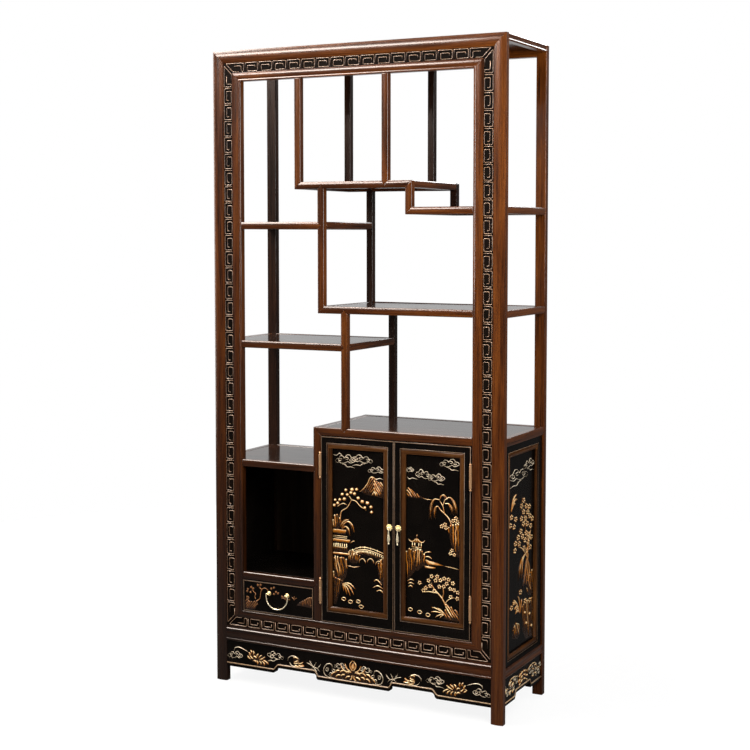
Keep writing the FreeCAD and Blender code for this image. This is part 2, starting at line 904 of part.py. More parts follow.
def cabinet_leaves():
    return group([cabinet_leaf(side, z) for side in (1, -1) for z in hinge_levels])


def hinge_pins():
    return group([hinge_pin(side, z) for side in (1, -1) for z in hinge_levels])


def door_leaves(side):
    return group([door_leaf(side, z) for z in hinge_levels])


# Door pulls: a rosette with a stud, and a drop that hangs on a cross pin through the stud
def pull_rosette(x):
    out = V(0, -1, 0)
    face = V(x, front_y, pull_height)
    base = facet_rod(rosette_radius, rosette_thick, face, out, rosette_facets)
    boss = facet_rod(rosette_boss, rosette_thick + rosette_boss_rise, face, out, rosette_facets)
    stud = facet_rod(stud_radius, pull_standoff + stud_reach, face, out)
    hole_start = V(x - 2 * stud_radius, front_y - pull_standoff, pull_height)
    hole = facet_hole(pull_pin_radius, 4 * stud_radius, hole_start, V(1, 0, 0))
    return base.fuse(boss).fuse(stud).cut(hole).removeSplitter()


# The yoke's bar hangs clear of the stud's corners, so the drop can swing out.
yoke_drop = math.hypot(stud_reach, stud_radius) + cheek_clear


def pull_drop(x):
    y, z = front_y - pull_standoff, pull_height
    half_wide = stud_radius + cheek_clear + cheek_thick
    y0, y1 = y - cheek_radius / 2, y + cheek_radius / 2
    bar_middle = yoke_drop + cheek_thick / 2
    rings = [(bar_middle, drop_radius * drop_neck_share)]
    rings += [(drop_length * along, drop_radius * radius) for along, radius in drop_shares]
    shape = turned(V(x, y, z), V(0, 0, -1), rings)
    foot = z - yoke_drop - cheek_thick
    shape = shape.fuse(block(x - half_wide, x + half_wide, y0, y1, foot, z - yoke_drop))
    for side in (-1, 1):
        inner = x + side * (stud_radius + cheek_clear)
        x0, x1 = sorted((inner, x + side * half_wide))
        shape = shape.fuse(facet_rod(cheek_radius, cheek_thick, V(inner, y, z), V(side, 0, 0)))
        shape = shape.fuse(block(x0, x1, y0, y1, foot, z))
    pin = cylinder(pull_pin_radius, 2 * half_wide, V(x - half_wide, y, z), V(1, 0, 0))
    return shape.fuse(pin).removeSplitter()


# Drawer, its runners and its bail
drawer_left = -opening_half
drawer_right = cupboard_left
drawer_box_front = front_y + drawer_front_set + drawer_front_thick
drawer_box_foot = base_top + runner_base + slide_clear


def drawer_front():
    x0, x1 = drawer_left + drawer_gap, drawer_right - drawer_gap
    z0, z1 = base_top + drawer_gap, drawer_head - drawer_gap
    board = plate(rectangle(x0, x1, z0, z1), 0, drawer_front_thick)
    field = rectangle(x0 + drawer_edge, x1 - drawer_edge, z0 + drawer_edge, z1 - drawer_edge)
    return on_front(board.cut(plate(field, -overrun, drawer_field_recess)), front_y + drawer_front_set)


def drawer_box():
    x0, x1 = drawer_left + drawer_side_gap, drawer_right - drawer_side_gap
    far = front_y + drawer_length
    z = drawer_box_foot
    left = block(x0, x0 + drawer_side_thick, drawer_box_front, far, z, z + drawer_side_tall)
    right = block(x1 - drawer_side_thick, x1, drawer_box_front, far, z, z + drawer_side_tall)
    in0, in1 = x0 + drawer_side_thick, x1 - drawer_side_thick
    floor_top = z + drawer_bottom_lift + drawer_bottom_thick
    back = block(in0, in1, far - drawer_side_thick, far, floor_top, z + drawer_side_tall - drawer_back_drop)
    floor = block(in0, in1, drawer_box_front, far, z + drawer_bottom_lift, floor_top)
    return group([left, right, back, floor])


def drawer_runners():
    shapes = []
    for edge, inward in ((drawer_left + drawer_side_gap, 1), (drawer_right - drawer_side_gap, -1)):
        guide = edge - inward * guide_clear
        x0, x1 = sorted((guide, guide + inward * runner_width))
        strip = block(x0, x1, inside_front, inside_back, base_top, base_top + runner_base)
        x0, x1 = sorted((guide - inward * runner_guide, guide))
        wall = block(x0, x1, inside_front, inside_back, base_top, base_top + runner_guide_tall)
        shapes.append(strip.fuse(wall).removeSplitter())
    return group(shapes)


def bail_centre():
    return (drawer_left + drawer_right) / 2


def bail_posts():
    out = V(0, -1, 0)
    shapes = []
    for side in (-1, 1):
        x = bail_centre() + side * bail_spacing / 2
        face = V(x, front_y + drawer_front_set + drawer_field_recess, bail_height)
        hole = facet_hole(bail_pin_radius, 4 * bail_stud_radius,
                          V(x - 2 * bail_stud_radius, front_y - bail_standoff, bail_height), V(1, 0, 0))
        washer = facet_rod(bail_washer_radius, bail_washer_thick, face, out, rosette_facets)
        reach = face.y - front_y + bail_standoff + bail_stud_radius
        stud = facet_rod(bail_stud_radius, reach, face, out)
        shapes.append(washer.fuse(stud).cut(hole).removeSplitter())
    return group(shapes)


# A bent rod with flats: two arms outside the posts, a half round grip between them, and a pivot that goes
# from each arm inward through its post.
def drawer_bail():
    y = front_y - bail_standoff
    x = bail_centre()
    half = bail_spacing / 2 + bail_stud_radius + bail_side_clear + bail_wire
    turn_z = bail_height - bail_arm
    arm_top = bail_height + bail_wire
    across = V(0, 1, 0)
    rings = [facet_ring(V(x + half, y, arm_top), V(1, 0, 0), across, bail_wire)]
    for step in range(bail_steps + 1):
        angle = math.pi * step / bail_steps
        outward = V(math.cos(angle), 0, -math.sin(angle))
        rings.append(facet_ring(V(x, y, turn_z) + outward * half, outward, across, bail_wire))
    rings.append(facet_ring(V(x - half, y, arm_top), V(-1, 0, 0), across, bail_wire))
    shape = ring_solid(rings)
    reach = bail_wire + bail_side_clear + 2 * bail_stud_radius + bail_pin_past
    for side in (-1, 1):
        pivot = cylinder(bail_pin_radius, reach, V(x + side * half, y, bail_height), V(-side, 0, 0))
        shape = shape.fuse(pivot)
    return shape.removeSplitter()


def build():
    nodes = {}
    stile = right_stile()
    nodes["right_front_stile"] = stile
    nodes["left_front_stile"] = mirror_x(stile)
    nodes["top_face_rail"] = top_face_rail()
    nodes["bottom_face_rail"] = bottom_face_rail()
    nodes["fret_border"] = fret_border()
    nodes["back_legs"] = back_legs()
    nodes["top_rails"] = top_rails()
    nodes["top_panel"] = top_panel()
    for name, make in (("high_shelf", high_shelf), ("step_shelf", step_shelf), ("left_shelf", left_shelf),
                       ("middle_shelf", middle_shelf), ("low_shelf", low_shelf), ("cubby_roof", cubby_roof),
                       ("cupboard_roof", cupboard_roof)):
        nodes[name + "_rails"], nodes[name + "_panel"] = make()
    for name, make in (("high_left_posts", high_left_posts), ("high_posts", high_posts),
                       ("step_posts", step_posts), ("centre_posts", centre_posts), ("low_posts", low_posts),
                       ("cupboard_posts", cupboard_posts)):
        nodes[name] = make()
    nodes["base_rails"] = base_rails()
    nodes["base_floor"] = base_floor()
    nodes["cubby_floor"] = cubby_floor()
    nodes["partition_panel"] = partition_panel()
    nodes["drawer_rail"] = drawer_rail()
    nodes["back_panels"] = back_panels()
    nodes["right_side_frame"], right_bead, nodes["right_side_panel"] = right_side()
    nodes["left_side_frame"], left_bead, nodes["left_side_panel"] = left_side()
    nodes["side_panel_beads"] = group(right_bead.Solids + left_bead.Solids)
    nodes["front_apron"] = front_apron()
    nodes["side_aprons"] = side_aprons()
    doors = {"left": (door_left_edge, door_seam - door_gap / 2, 1),
             "right": (door_seam + door_gap / 2, door_right_edge, -1)}
    for name, (x0, x1, side) in doors.items():
        frame, bead, panel = door(x0, x1)
        nodes[name + "_door_frame"] = frame
        nodes[name + "_door_bead"] = bead
        nodes[name + "_door_panel"] = panel
        nodes[name + "_hinge_leaves"] = door_leaves(side)
        pull_x = x1 - pull_inset if side > 0 else x0 + pull_inset
        nodes[name + "_pull_rosette"] = pull_rosette(pull_x)
        nodes[name + "_pull_drop"] = pull_drop(pull_x)
    nodes["hinge_frame_leaves"] = cabinet_leaves()
    nodes["hinge_pins"] = hinge_pins()
    nodes["drawer_front"] = drawer_front()
    nodes["drawer_box"] = drawer_box()
    nodes["drawer_runners"] = drawer_runners()
    nodes["bail_posts"] = bail_posts()
    nodes["drawer_bail"] = drawer_bail()
    return nodes


os.makedirs("parts", exist_ok=True)
for name, shape in build().items():
    shape.exportStep("parts/" + name + ".step")
    print(name, len(shape.Solids), round(shape.Volume), shape.isValid())
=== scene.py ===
import json
import math
import random

import bpy
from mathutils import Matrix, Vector


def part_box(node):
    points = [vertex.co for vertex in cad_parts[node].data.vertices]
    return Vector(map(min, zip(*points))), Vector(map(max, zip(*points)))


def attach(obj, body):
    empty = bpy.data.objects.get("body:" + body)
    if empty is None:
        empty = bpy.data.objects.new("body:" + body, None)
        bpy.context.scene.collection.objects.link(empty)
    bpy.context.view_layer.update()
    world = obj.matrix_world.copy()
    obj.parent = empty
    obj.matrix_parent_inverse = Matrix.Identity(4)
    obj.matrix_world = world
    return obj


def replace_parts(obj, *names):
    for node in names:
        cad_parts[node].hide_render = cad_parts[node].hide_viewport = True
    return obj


# The looks of a tall display cabinet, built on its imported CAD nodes. Sizes are millimetres in the part's
# frame, and angles degrees, where a comment names no other unit.

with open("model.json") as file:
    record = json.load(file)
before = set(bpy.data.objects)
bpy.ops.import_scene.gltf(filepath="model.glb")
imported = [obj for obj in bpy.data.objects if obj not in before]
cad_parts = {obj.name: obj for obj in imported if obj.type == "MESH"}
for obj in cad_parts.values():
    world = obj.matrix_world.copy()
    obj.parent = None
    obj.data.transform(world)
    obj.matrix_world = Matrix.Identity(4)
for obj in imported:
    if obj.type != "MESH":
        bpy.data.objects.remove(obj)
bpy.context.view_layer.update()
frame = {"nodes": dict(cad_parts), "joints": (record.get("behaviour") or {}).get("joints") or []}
nodes = frame["nodes"]
random.seed(7)

MM = 0.001
RIGHT = Vector((1, 0, 0))
BACK = Vector((0, 1, 0))
UP = Vector((0, 0, 1))
sides = {"left": -1, "right": 1}

# Camera, as fitted to the photograph's corners: its azimuth and its fall in degrees
camera_place = (2064.6, -4017.1, 1429.9)
camera_azimuth = 27.293
camera_fall = 3.638
camera_lens = 69.7
camera_sensor = 36
camera_shift = -0.065

# Sizes repeated from the part
front_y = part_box("left_front_stile")[0].y / MM
inside_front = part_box("top_panel")[0].y / MM
inside_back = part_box("top_panel")[1].y / MM
panel_recess = 9.0
panel_bead = 15.0
fret_pitch = 50.8
fret_gap = 2.8
fret_line = 2.6
fret_margin = 1.6
fret_band = 32.0
fret_corner = 77.0
fret_corner_gap = 2.2
hinge_barrel = 4.0
knuckle = 22.0
knuckle_gap = 0.2
leaf_thick = 1.0
leaf_width = 18.0

# Painted shade on the timber: it ends before the right back leg, and is darkest at the left front foot
painted_shade_colour = (20, 12, 8)
shade_edge = 400.0
shaded_foot = (-480.0, -167.0, 0.0)
shade_start, shade_full = 1.3, 0.1  # metres from that foot
shade_depth = 0.9

# Surfaces: how deep the fine relief of each is, in metres, where their ramps change shade, and the scales of
# timber's figure along and across its grain
noise_span = (0.3, 0.7)  # nearly all of a noise's values
grain_height = 0.0004
film_height = 0.0004
brush_height = 0.0003
rub_height = 0.0002
grain_stops = (0.36, 0.5, 0.66)
gilt_stops = (0.2, 0.62, 0.96)
band_scale, streak_scale, pore_scale = (2.2, 34), (7, 210), (60, 1100)
streak_share = 0.45  # of the figure, the bands being the rest
ring_end = 0.472  # of a bead ring's height, from its middle to its level parts


# Nodes of materials
def colour(red, green, blue):
    """A colour as it shows on screen, from 0 to 255, as the linear colour that a shader takes."""
    def linear(value):
        share = value / 255
        return share / 12.92 if share <= 0.04045 else ((share + 0.055) / 1.055) ** 2.4
    return (linear(red), linear(green), linear(blue), 1)


def colours(*shades):
    return [colour(*shade) for shade in shades]


def node(tree, kind, inputs=None, **settings):
    made = tree.nodes.new("ShaderNode" + kind)
    for name, value in settings.items():
        setattr(made, name, value)
    for key, value in (inputs or {}).items():
        if isinstance(value, bpy.types.NodeSocket):
            tree.links.new(value, made.inputs[key])
        else:
            made.inputs[key].default_value = value
    return made


def math_node(tree, operation, first, second=0.0):
    return node(tree, "Math", {0: first, 1: second}, operation=operation).outputs[0]


def remap(tree, value, low, high, to_low=0.0, to_high=1.0):
    inputs = {"Value": value, "From Min": low, "From Max": high, "To Min": to_low, "To Max": to_high}
    return node(tree, "MapRange", inputs).outputs[0]


def mix_colour(tree, share, first, second):
    return node(tree, "Mix", {0: share, 6: first, 7: second}, data_type="RGBA").outputs[2]


def noise(tree, place, scale, detail=4.0, roughness=0.5, distortion=0.0):
    inputs = {"Vector": place, "Scale": scale, "Detail": detail, "Roughness": roughness,
              "Distortion": distortion}
    return node(tree, "TexNoise", inputs).outputs["Fac"]


def ramp(tree, value, stops, shades):
    made = node(tree, "ValToRGB", {"Fac": value})
    elements = made.color_ramp.elements
    while len(elements) < len(stops):
        elements.new(0.5)
    for element, stop, shade in zip(elements, stops, colours(*shades)):
        element.position = stop
        element.color = shade
    return made.outputs["Color"]


def blank_material(name, constants):
    material = bpy.data.materials.new(name)
    material.use_nodes = True
    tree = material.node_tree
    shader = tree.nodes["Principled BSDF"]
    for key, value in constants.items():
        shader.inputs[key].default_value = value
    return material, tree, shader


def coordinate(tree, kind="Object"):
    return node(tree, "TexCoord").outputs[kind]


def split(tree, place):
    return node(tree, "SeparateXYZ", {0: place}).outputs


def joined(tree, x, y, z):
    return node(tree, "CombineXYZ", {0: x, 1: y, 2: z}).outputs[0]


def surface(tree, shader, face, rough, height, strength, distance):
    """A material's colour, roughness and fine relief, with the relief's strength and its depth in metres."""
    fine = node(tree, "Bump", {"Height": height, "Strength": strength, "Distance": distance})
    for key, value in (("Base Color", face), ("Roughness", rough), ("Normal", fine.outputs[0])):
        tree.links.new(value, shader.inputs[key])


def along_grain(tree, grain):
    """A place whose first axis runs along the grain. Rails lie across the front and back, and along the sides
    between them."""
    place = coordinate(tree)
    x, y, z = split(tree, place)
    if grain == "x":
        return place
    if grain == "z":
        return joined(tree, z, y, x)
    if grain == "ring":
        height = split(tree, coordinate(tree, "Generated"))[2]
        from_middle = math_node(tree, "ABSOLUTE", math_node(tree, "SUBTRACT", height, 0.5))
        share = math_node(tree, "GREATER_THAN", from_middle, ring_end)
        first, second = joined(tree, z, y, x), joined(tree, math_node(tree, "ADD", x, y), z, 0.0)
    else:
        behind_front = math_node(tree, "GREATER_THAN", y, inside_front * MM)
        before_back = math_node(tree, "LESS_THAN", y, inside_back * MM)
        share = math_node(tree, "MULTIPLY", behind_front, before_back)
        first, second = place, joined(tree, y, x, z)
    return node(tree, "Mix", {0: share, 4: first, 5: second}, data_type="VECTOR").outputs[1]


def stretched(tree, place, along, across):
    return node(tree, "Mapping", {"Vector": place, "Scale": (along, across, across)}).outputs[0]


def painted_shade(tree, back_shade):
    """The share of painted shade: the back posts and the left back leg are shaded nearly black, and the timber
    darkens with painted shade towards the left front foot."""
    place = coordinate(tree)
    x, y, _ = split(tree, place)
    # Painted shade inside, behind the middle and short of the right back leg
    behind = math_node(tree, "GREATER_THAN", y, 0)
    inside = math_node(tree, "LESS_THAN", x, shade_edge * MM)
    shaded_inside = math_node(tree, "MULTIPLY", math_node(tree, "MULTIPLY", behind, inside), back_shade)
    # Painted shade that grows towards the left front foot
    reach = node(tree, "VectorMath", {0: place, 1: Vector(shaded_foot) * MM}, operation="DISTANCE")
    shade_near_foot = remap(tree, reach.outputs["Value"], shade_start, shade_full, 0, shade_depth)
    return math_node(tree, "MAXIMUM", shaded_inside, shade_near_foot)


def wood(name, grain, shades, gloss, coat, coat_gloss, level=0.22, back_shade=None, ripple=0.12):
    """Timber with broad bands, streaks and pores along its grain. shades are dark, middle and light. Given a
    share for the back, it takes painted shade there and near the left front foot.
    """
    material, tree, shader = blank_material(name, {"Coat Weight": coat, "Coat Roughness": coat_gloss,
                                                   "Specular IOR Level": level})
    place = along_grain(tree, grain)
    bands = noise(tree, stretched(tree, place, *band_scale), 1.0, 3, 0.5, 0.8)
    streaks = noise(tree, stretched(tree, place, *streak_scale), 1.0, 5, 0.6, 0.3)
    pores = noise(tree, stretched(tree, place, *pore_scale), 1.0, 2, 0.5)
    figure = math_node(tree, "ADD", math_node(tree, "MULTIPLY", bands, 1 - streak_share),
                       math_node(tree, "MULTIPLY", streaks, streak_share))
    face = ramp(tree, figure, grain_stops, shades)
    pore_share = remap(tree, pores, 0.56, 0.68, 0, 0.55)
    face = mix_colour(tree, pore_share, face, colour(*shades[0]))
    # Painted shade: nearly black inside at the back, and darker towards the left front foot
    if back_shade is not None:
        face = mix_colour(tree, painted_shade(tree, back_shade), face, colour(*painted_shade_colour))
    rough = remap(tree, streaks, *noise_span, gloss - 0.06, gloss + 0.08)
    relief = math_node(tree, "SUBTRACT", streaks, math_node(tree, "MULTIPLY", pores, 0.6))
    surface(tree, shader, face, rough, relief, ripple, grain_height)
    return material


def lacquer(name, shade, second, gloss, level=0.3):
    """Brushed lacquer: a smooth film with a faint cloud of a second shade and a soft ripple."""
    material, tree, shader = blank_material(name, {"Specular IOR Level": level})
    place = coordinate(tree)
    cloud = noise(tree, place, 9, 4, 0.6, 0.4)
    ripple = noise(tree, place, 160, 2, 0.5)
    dust = noise(tree, place, 900, 2, 0.5)
    face = mix_colour(tree, remap(tree, cloud, 0.35, 0.75), *colours(shade, second))
    rough = math_node(tree, "ADD", remap(tree, cloud, *noise_span, gloss - 0.04, gloss + 0.06),
                      remap(tree, dust, 0.55, 0.75, 0, 0.08))
    surface(tree, shader, face, rough, ripple, 0.05, film_height)
    return material


def gilding(name, shades, metal, gloss):
    """Gold on raised work: painted shade in the hollows and underneath, painted highlight on the crowns and on
    top.
    """
    material, tree, shader = blank_material(name, {"Metallic": metal})
    rise = node(tree, "Attribute", attribute_name="rise").outputs["Fac"]
    place = coordinate(tree)
    patches = noise(tree, place, 120, 4, 0.6)
    brush = noise(tree, place, 700, 3, 0.6)
    # Painted shade where the rise is low and painted highlight where it is high, with random patches of tone
    tone_and_painted_light = math_node(tree, "ADD", rise, remap(tree, patches, *noise_span, -0.14, 0.1))
    tone_and_painted_light = math_node(tree, "ADD", tone_and_painted_light, remap(tree, brush, *noise_span, -0.08, 0.08))
    # Painted light from above: faces that turn up lighter, faces that turn down darker
    facing = split(tree, coordinate(tree, "Normal"))[2]
    tone_and_painted_light = math_node(tree, "ADD", tone_and_painted_light, remap(tree, facing, -0.4, 0.4, -0.66, 0.16))
    rough = remap(tree, patches, *noise_span, gloss + 0.12, gloss - 0.05)
    surface(tree, shader, ramp(tree, tone_and_painted_light, gilt_stops, shades), rough, brush, 0.25, brush_height)
    return material


def polished_metal(name, shade, tarnish, gloss):
    """Rubbed brass with clouds of tarnish."""
    material, tree, shader = blank_material(name, {"Metallic": 0.6})
    place = coordinate(tree)
    clouds = noise(tree, place, 90, 4, 0.6)
    rub = noise(tree, place, 1500, 2, 0.5)
    face = mix_colour(tree, remap(tree, clouds, 0.5, 0.8, 0, 0.6), *colours(shade, tarnish))
    rough = remap(tree, clouds, 0.3, 0.8, gloss, gloss + 0.15)
    surface(tree, shader, face, rough, rub, 0.06, rub_height)
    return material


# Palette. After the shades: timber's roughness, coat, the coat's roughness and the specular level; lacquer's
# roughness and specular level; gilding's share of metal and roughness; brass's roughness.
rosewood_shades = ((38, 15, 3), (76, 36, 7), (106, 56, 14))
# Painted shade: the rosewood darkens towards the left front foot, and the uprights are shaded nearly black at
# the back
rosewood = {grain: wood("rosewood_" + grain, grain, rosewood_shades, 0.3, 0.7, 0.16, 0.08, back_shade)
            for grain, back_shade in (("x", 0.0), ("z", 0.8), ("frame", 0.0))}
polished = wood("polished_panel", "x", ((25, 14, 9), (44, 26, 17), (62, 38, 25)),
                0.14, 0.1, 0.05, 0.35, ripple=0.02)
plain_wood = wood("plain_wood", "frame", ((120, 84, 52), (152, 110, 70), (176, 134, 90)),
                  0.5, 0.0, 0.3)
bead_wood = wood("gilt_bead", "ring", ((36, 18, 6), (70, 40, 16), (98, 60, 26)),
                 0.28, 0.15, 0.12, 0.1)
black_lacquer = lacquer("black_lacquer", (8, 6, 5), (15, 11, 8), 0.22, 0.09)
back_board = wood("back_board", "z", ((30, 21, 13), (44, 32, 21), (58, 43, 29)),
                  0.42, 0.0, 0.3, 0.2)
black_ground = lacquer("black_ground", (10, 7, 5), (20, 13, 8), 0.5, 0.02)
# Gilding: its dark shade is painted shade in the hollows and underneath, its light one painted highlight on the
# crowns and on top
fret_paint = gilding("fret_paint", ((34, 20, 11), (86, 58, 38), (172, 138, 108)), 0.0, 0.3)
edge_line = gilding("edge_line", ((44, 30, 20), (92, 70, 50), (144, 114, 86)), 0.0, 0.32)
tan_line = gilding("tan_line", ((50, 34, 20), (126, 98, 68), (192, 160, 122)), 0.0, 0.32)
gold = gilding("gold_relief", ((40, 20, 4), (190, 112, 20), (255, 240, 186)), 0.1, 0.22)
pale_gold = gilding("pale_gold_relief", ((58, 44, 28), (150, 130, 100), (255, 240, 212)), 0.2, 0.32)
dim_gold = gilding("dim_gold_paint", ((46, 24, 8), (132, 80, 32), (184, 126, 68)), 0.1, 0.4)
old_brass = polished_metal("old_brass", (190, 148, 108), (112, 78, 50), 0.3)
brass = polished_metal("brass", (246, 222, 160), (150, 112, 50), 0.2)
# Brass for the drops and the bail: its own colour, lightened to near-white by a painted sheen
brass_painted_sheen = polished_metal("brass_painted_sheen", (255, 240, 204), (220, 184, 128), 0.2)


# Meshes. Sharp edges get a small bevel, after points that nearly meet are joined.
bevel_segments = 2
bevel_angle = 35
weld_gap = 0.02
post_edge, rail_edge, board_edge = 1.6, 2.4, 0.5


def new_object(name, points, faces, material, body):
    mesh = bpy.data.meshes.new(name)
    mesh.from_pydata([Vector(point) * MM for point in points], [], faces)
    mesh.polygons.foreach_set("use_smooth", [True] * len(mesh.polygons))
    mesh.validate()
    made = bpy.data.objects.new(name, mesh)
    bpy.context.scene.collection.objects.link(made)
    made.data.materials.append(material)
    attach(made, body)
    return made


def bevel(made, width):
    modifier = made.modifiers.new("bevel", "BEVEL")
    modifier.width = width * MM
    modifier.segments = bevel_segments
    modifier.limit_method = "ANGLE"
    modifier.angle_limit = math.radians(bevel_angle)
    modifier.use_clamp_overlap = True


def dress(name, material, edge):
    """A CAD node's material, and soft edges on it."""
    made = nodes[name]
    for slot in made.material_slots:
        slot.link = "OBJECT"
        slot.material = material
    if edge:
        weld = made.modifiers.new("weld", "WELD")
        weld.merge_threshold = weld_gap * MM
        bevel(made, edge)
        made.modifiers.new("normals", "WEIGHTED_NORMAL").keep_sharp = False


shelves = ("high_shelf", "step_shelf", "left_shelf", "middle_shelf", "low_shelf", "cubby_roof",
           "cupboard_roof")
dressing = (
    (rosewood["x"], rail_edge, ("top_face_rail", "bottom_face_rail", "drawer_rail")),
    (rosewood["z"], post_edge, ("left_front_stile", "right_front_stile", "back_legs", "high_left_posts",
                                "high_posts", "step_posts", "centre_posts", "low_posts", "cupboard_posts")),
    (rosewood["frame"], post_edge, [shelf + "_rails" for shelf in shelves] + ["top_rails", "base_rails"]),
    (polished, 0.0, [shelf + "_panel" for shelf in shelves] + ["top_panel"]),
    (black_lacquer, board_edge, [name + part for name in sides for part in
                                 ("_side_frame", "_side_panel", "_door_frame", "_door_panel")]),
    (black_lacquer, board_edge, ("drawer_front", "front_apron", "side_aprons", "cubby_floor", "base_floor")),
    (back_board, board_edge, ("back_panels", "partition_panel")),
    (bead_wood, board_edge, ("side_panel_beads", "left_door_bead", "right_door_bead")),
    (plain_wood, board_edge, ("drawer_box", "drawer_runners")),
)
for material, edge, names in dressing:
    for name in names:
        dress(name, material, edge)


# Raised work on a flat face
def smooth_path(points, steps=5):
    """Points on a soft curve through the given points."""
    padded = [points[0]] + list(points) + [points[-1]]
    path = []
    for a, b, c, d in zip(padded, padded[1:], padded[2:], padded[3:]):
        for step in range(steps):
            t = step / steps
            path.append(tuple(0.5 * (2 * q + (r - p) * t + (2 * p - 5 * q + 4 * r - s) * t * t
                                     + (3 * q - p - 3 * r + s) * t ** 3) for p, q, r, s in zip(a, b, c, d)))
    return path + [tuple(points[-1])]


def side_steps(path, closed=False):
    """At each point of a path, the sideways step that keeps a line's width round a corner."""
    steps = []
    count = len(path)
    for index, point in enumerate(path):
        before = path[index - 1] if index or closed else point
        after = path[(index + 1) % count] if index + 1 < count or closed else point
        runs = [(b[0] - a[0], b[1] - a[1]) for a, b in ((before, point), (point, after))]
        normals = [Vector((-run[1], run[0])).normalized() for run in runs if math.hypot(*run) > 1e-6]
        total = sum(normals, Vector((0, 0)))
        size = max(total.dot(normals[0]), 0.6) if normals else 1
        steps.append(total / size)
    return steps


def faces_between(start, rows, across, closed_rows=True, closed_path=False):
    """Faces between rows of points that follow each other from start, each row across points long."""
    faces = []
    for index in range(rows if closed_path else rows - 1):
        low = start + index * across
        high = start + (index + 1) % rows * across
        for step in range(across if closed_rows else across - 1):
            ahead = (step + 1) % across
            faces.append((low + step, low + ahead, high + ahead, high + step))
    return faces


def end_faces(start, rows, across):
    """The two faces that close the first and the last of such rows."""
    end = start + (rows - 1) * across
    return [tuple(range(start + across - 1, start - 1, -1)), tuple(range(end, end + across))]


# Sections are shares of a line's half width, or of an outline, with a share of the rise
sunk = 0.05  # how far raised work reaches into the face under it
least_lift = 0.45  # of the rise, where a line thins to nothing
taper = 3  # a line is full after 1 / taper of its length
line_section = ((1, 0), (0.78, 0.62), (0.35, 0.94), (-0.35, 0.94), (-0.78, 0.62), (-1, 0))
dome_rings = ((1, 0), (0.88, 0.5), (0.6, 0.84), (0.22, 1))


class Relief:
    """Raised work on one flat face. h runs to the right and v up, in millimetres from the origin."""

    def __init__(self, origin, right, out, wide=0.0, tall=0.0):
        self.origin, self.right, self.out = Vector(origin), Vector(right), Vector(out)
        self.wide, self.tall = wide, tall
        self.turn = 1 if self.right.cross(UP).dot(self.out) > 0 else -1
        self.points, self.faces, self.rises = [], [], []

    def at(self, u, v):
        """A place in thousandths of the face, from its left edge and its top. A face of no size takes h, v."""
        return (u / 1000 * self.wide, (1 - v / 1000) * self.tall) if self.wide else (u, v)

    def places(self, spots):
        return [self.at(*spot) for spot in spots]

    def join(self, other):
        start = len(self.points)
        self.points += other.points
        self.rises += other.rises
        self.faces += [tuple(start + corner for corner in face)[::self.turn * other.turn]
                       for face in other.faces]

    def add_rows(self, rows, rise, closed_rows, closed_path=False, tone=1.0):
        """The skin over rows of places with heights. Returns the faces that would close its ends."""
        start = len(self.points)
        for row in rows:
            for h, v, height in row:
                place = self.origin + self.right * h + UP * v
                self.points.append(place + self.out * (rise * height - sunk))
                # The share of the rise, which the gilding paints as shade when low and as highlight when high
                self.rises.append(height * tone)
        self.faces += faces_between(start, len(rows), len(rows[0]), closed_rows, closed_path)
        return end_faces(start, len(rows), len(rows[0]))

    def line(self, path, width, rise, ends=(1, 1), closed=False, tone=1.0):
        """A rounded line along a path. ends are the shares of its width that are left at its ends, and tone
        dims its gold."""
        rows = []
        for index, (point, step) in enumerate(zip(path, side_steps(path, closed))):
            along = index / max(1, len(path) - 1)
            share = min(1, ends[0] + (1 - ends[0]) * along * taper,
                        ends[1] + (1 - ends[1]) * (1 - along) * taper)
            half = width * share / 2
            lift = least_lift + (1 - least_lift) * share
            rows.append([(point[0] + step.x * half * across, point[1] + step.y * half * across, height * lift)
                         for across, height in line_section])
        closing = self.add_rows(rows, rise, False, closed, tone)
        if not closed:
            self.faces += closing

    def stroke(self, spots, width, rise, ends=(0.3, 0.3)):
        """A soft brush stroke through places of the face."""
        self.line(smooth_path(self.places(spots)), width, rise, ends)

    def dome(self, outline, rise, rings=dome_rings, tone=1.0):
        """A rounded form over an outline that its middle can see all of."""
        turn = sum(a[0] * b[1] - b[0] * a[1] for a, b in zip(outline, outline[1:] + outline[:1]))
        if turn < 0:
            outline = outline[::-1]
        middle_h, middle_v = (sum(values) / len(outline) for values in zip(*outline))
        rows = [[(middle_h + (h - middle_h) * size, middle_v + (v - middle_v) * size, height)
                 for h, v in outline] for size, height in rings]
        self.faces += self.add_rows(rows, rise, True, tone=tone)[1:]

    def make(self, name, material, body, slot="gilt_bead"):
        faces = [face[::self.turn] for face in self.faces]
        made = new_object(name, self.points, faces, material, body)
        attribute = made.data.attributes.new("rise", "FLOAT", "POINT")
        attribute.data.foreach_set("value", self.rises)
        return made


# Meander fret
fret_rise = 1.5
fret_ease = 3.4  # how far a turn of the line is rounded
fret_ease_share = 2.6  # of a run between turns, 1 / this at most
fret_ground = 0.25  # film under the lines
fret_low = fret_margin + fret_line / 2
fret_high = fret_band - fret_low
fret_turn = (fret_high - fret_low) / 3


def hook_path(start, length):
    """One hook of the meander, from its start along the border."""
    low, high, turn = fret_low, fret_high, fret_turn
    near = start + fret_gap / 2 + fret_line / 2
    far = start + length - fret_gap / 2 - fret_line / 2
    return [(near, high), (near, low), (far, low), (far, high), (near + turn, high),
            (near + turn, low + turn), (far - turn, low + turn), (far - turn, high - turn)]


def corner_path():
    """The meander's hook at a corner, cut along the mitre."""
    low, high, turn = fret_low, fret_high, fret_turn
    slant = low + fret_corner_gap + fret_line / 2
    far = fret_corner - fret_gap / 2 - fret_line / 2
    back = far - turn
    return [(slant + high - low + turn, low + turn), (back, low + turn), (back, high), (far, high),
            (far, low), (slant + low, low), (slant + high, high), (back - turn, high)]


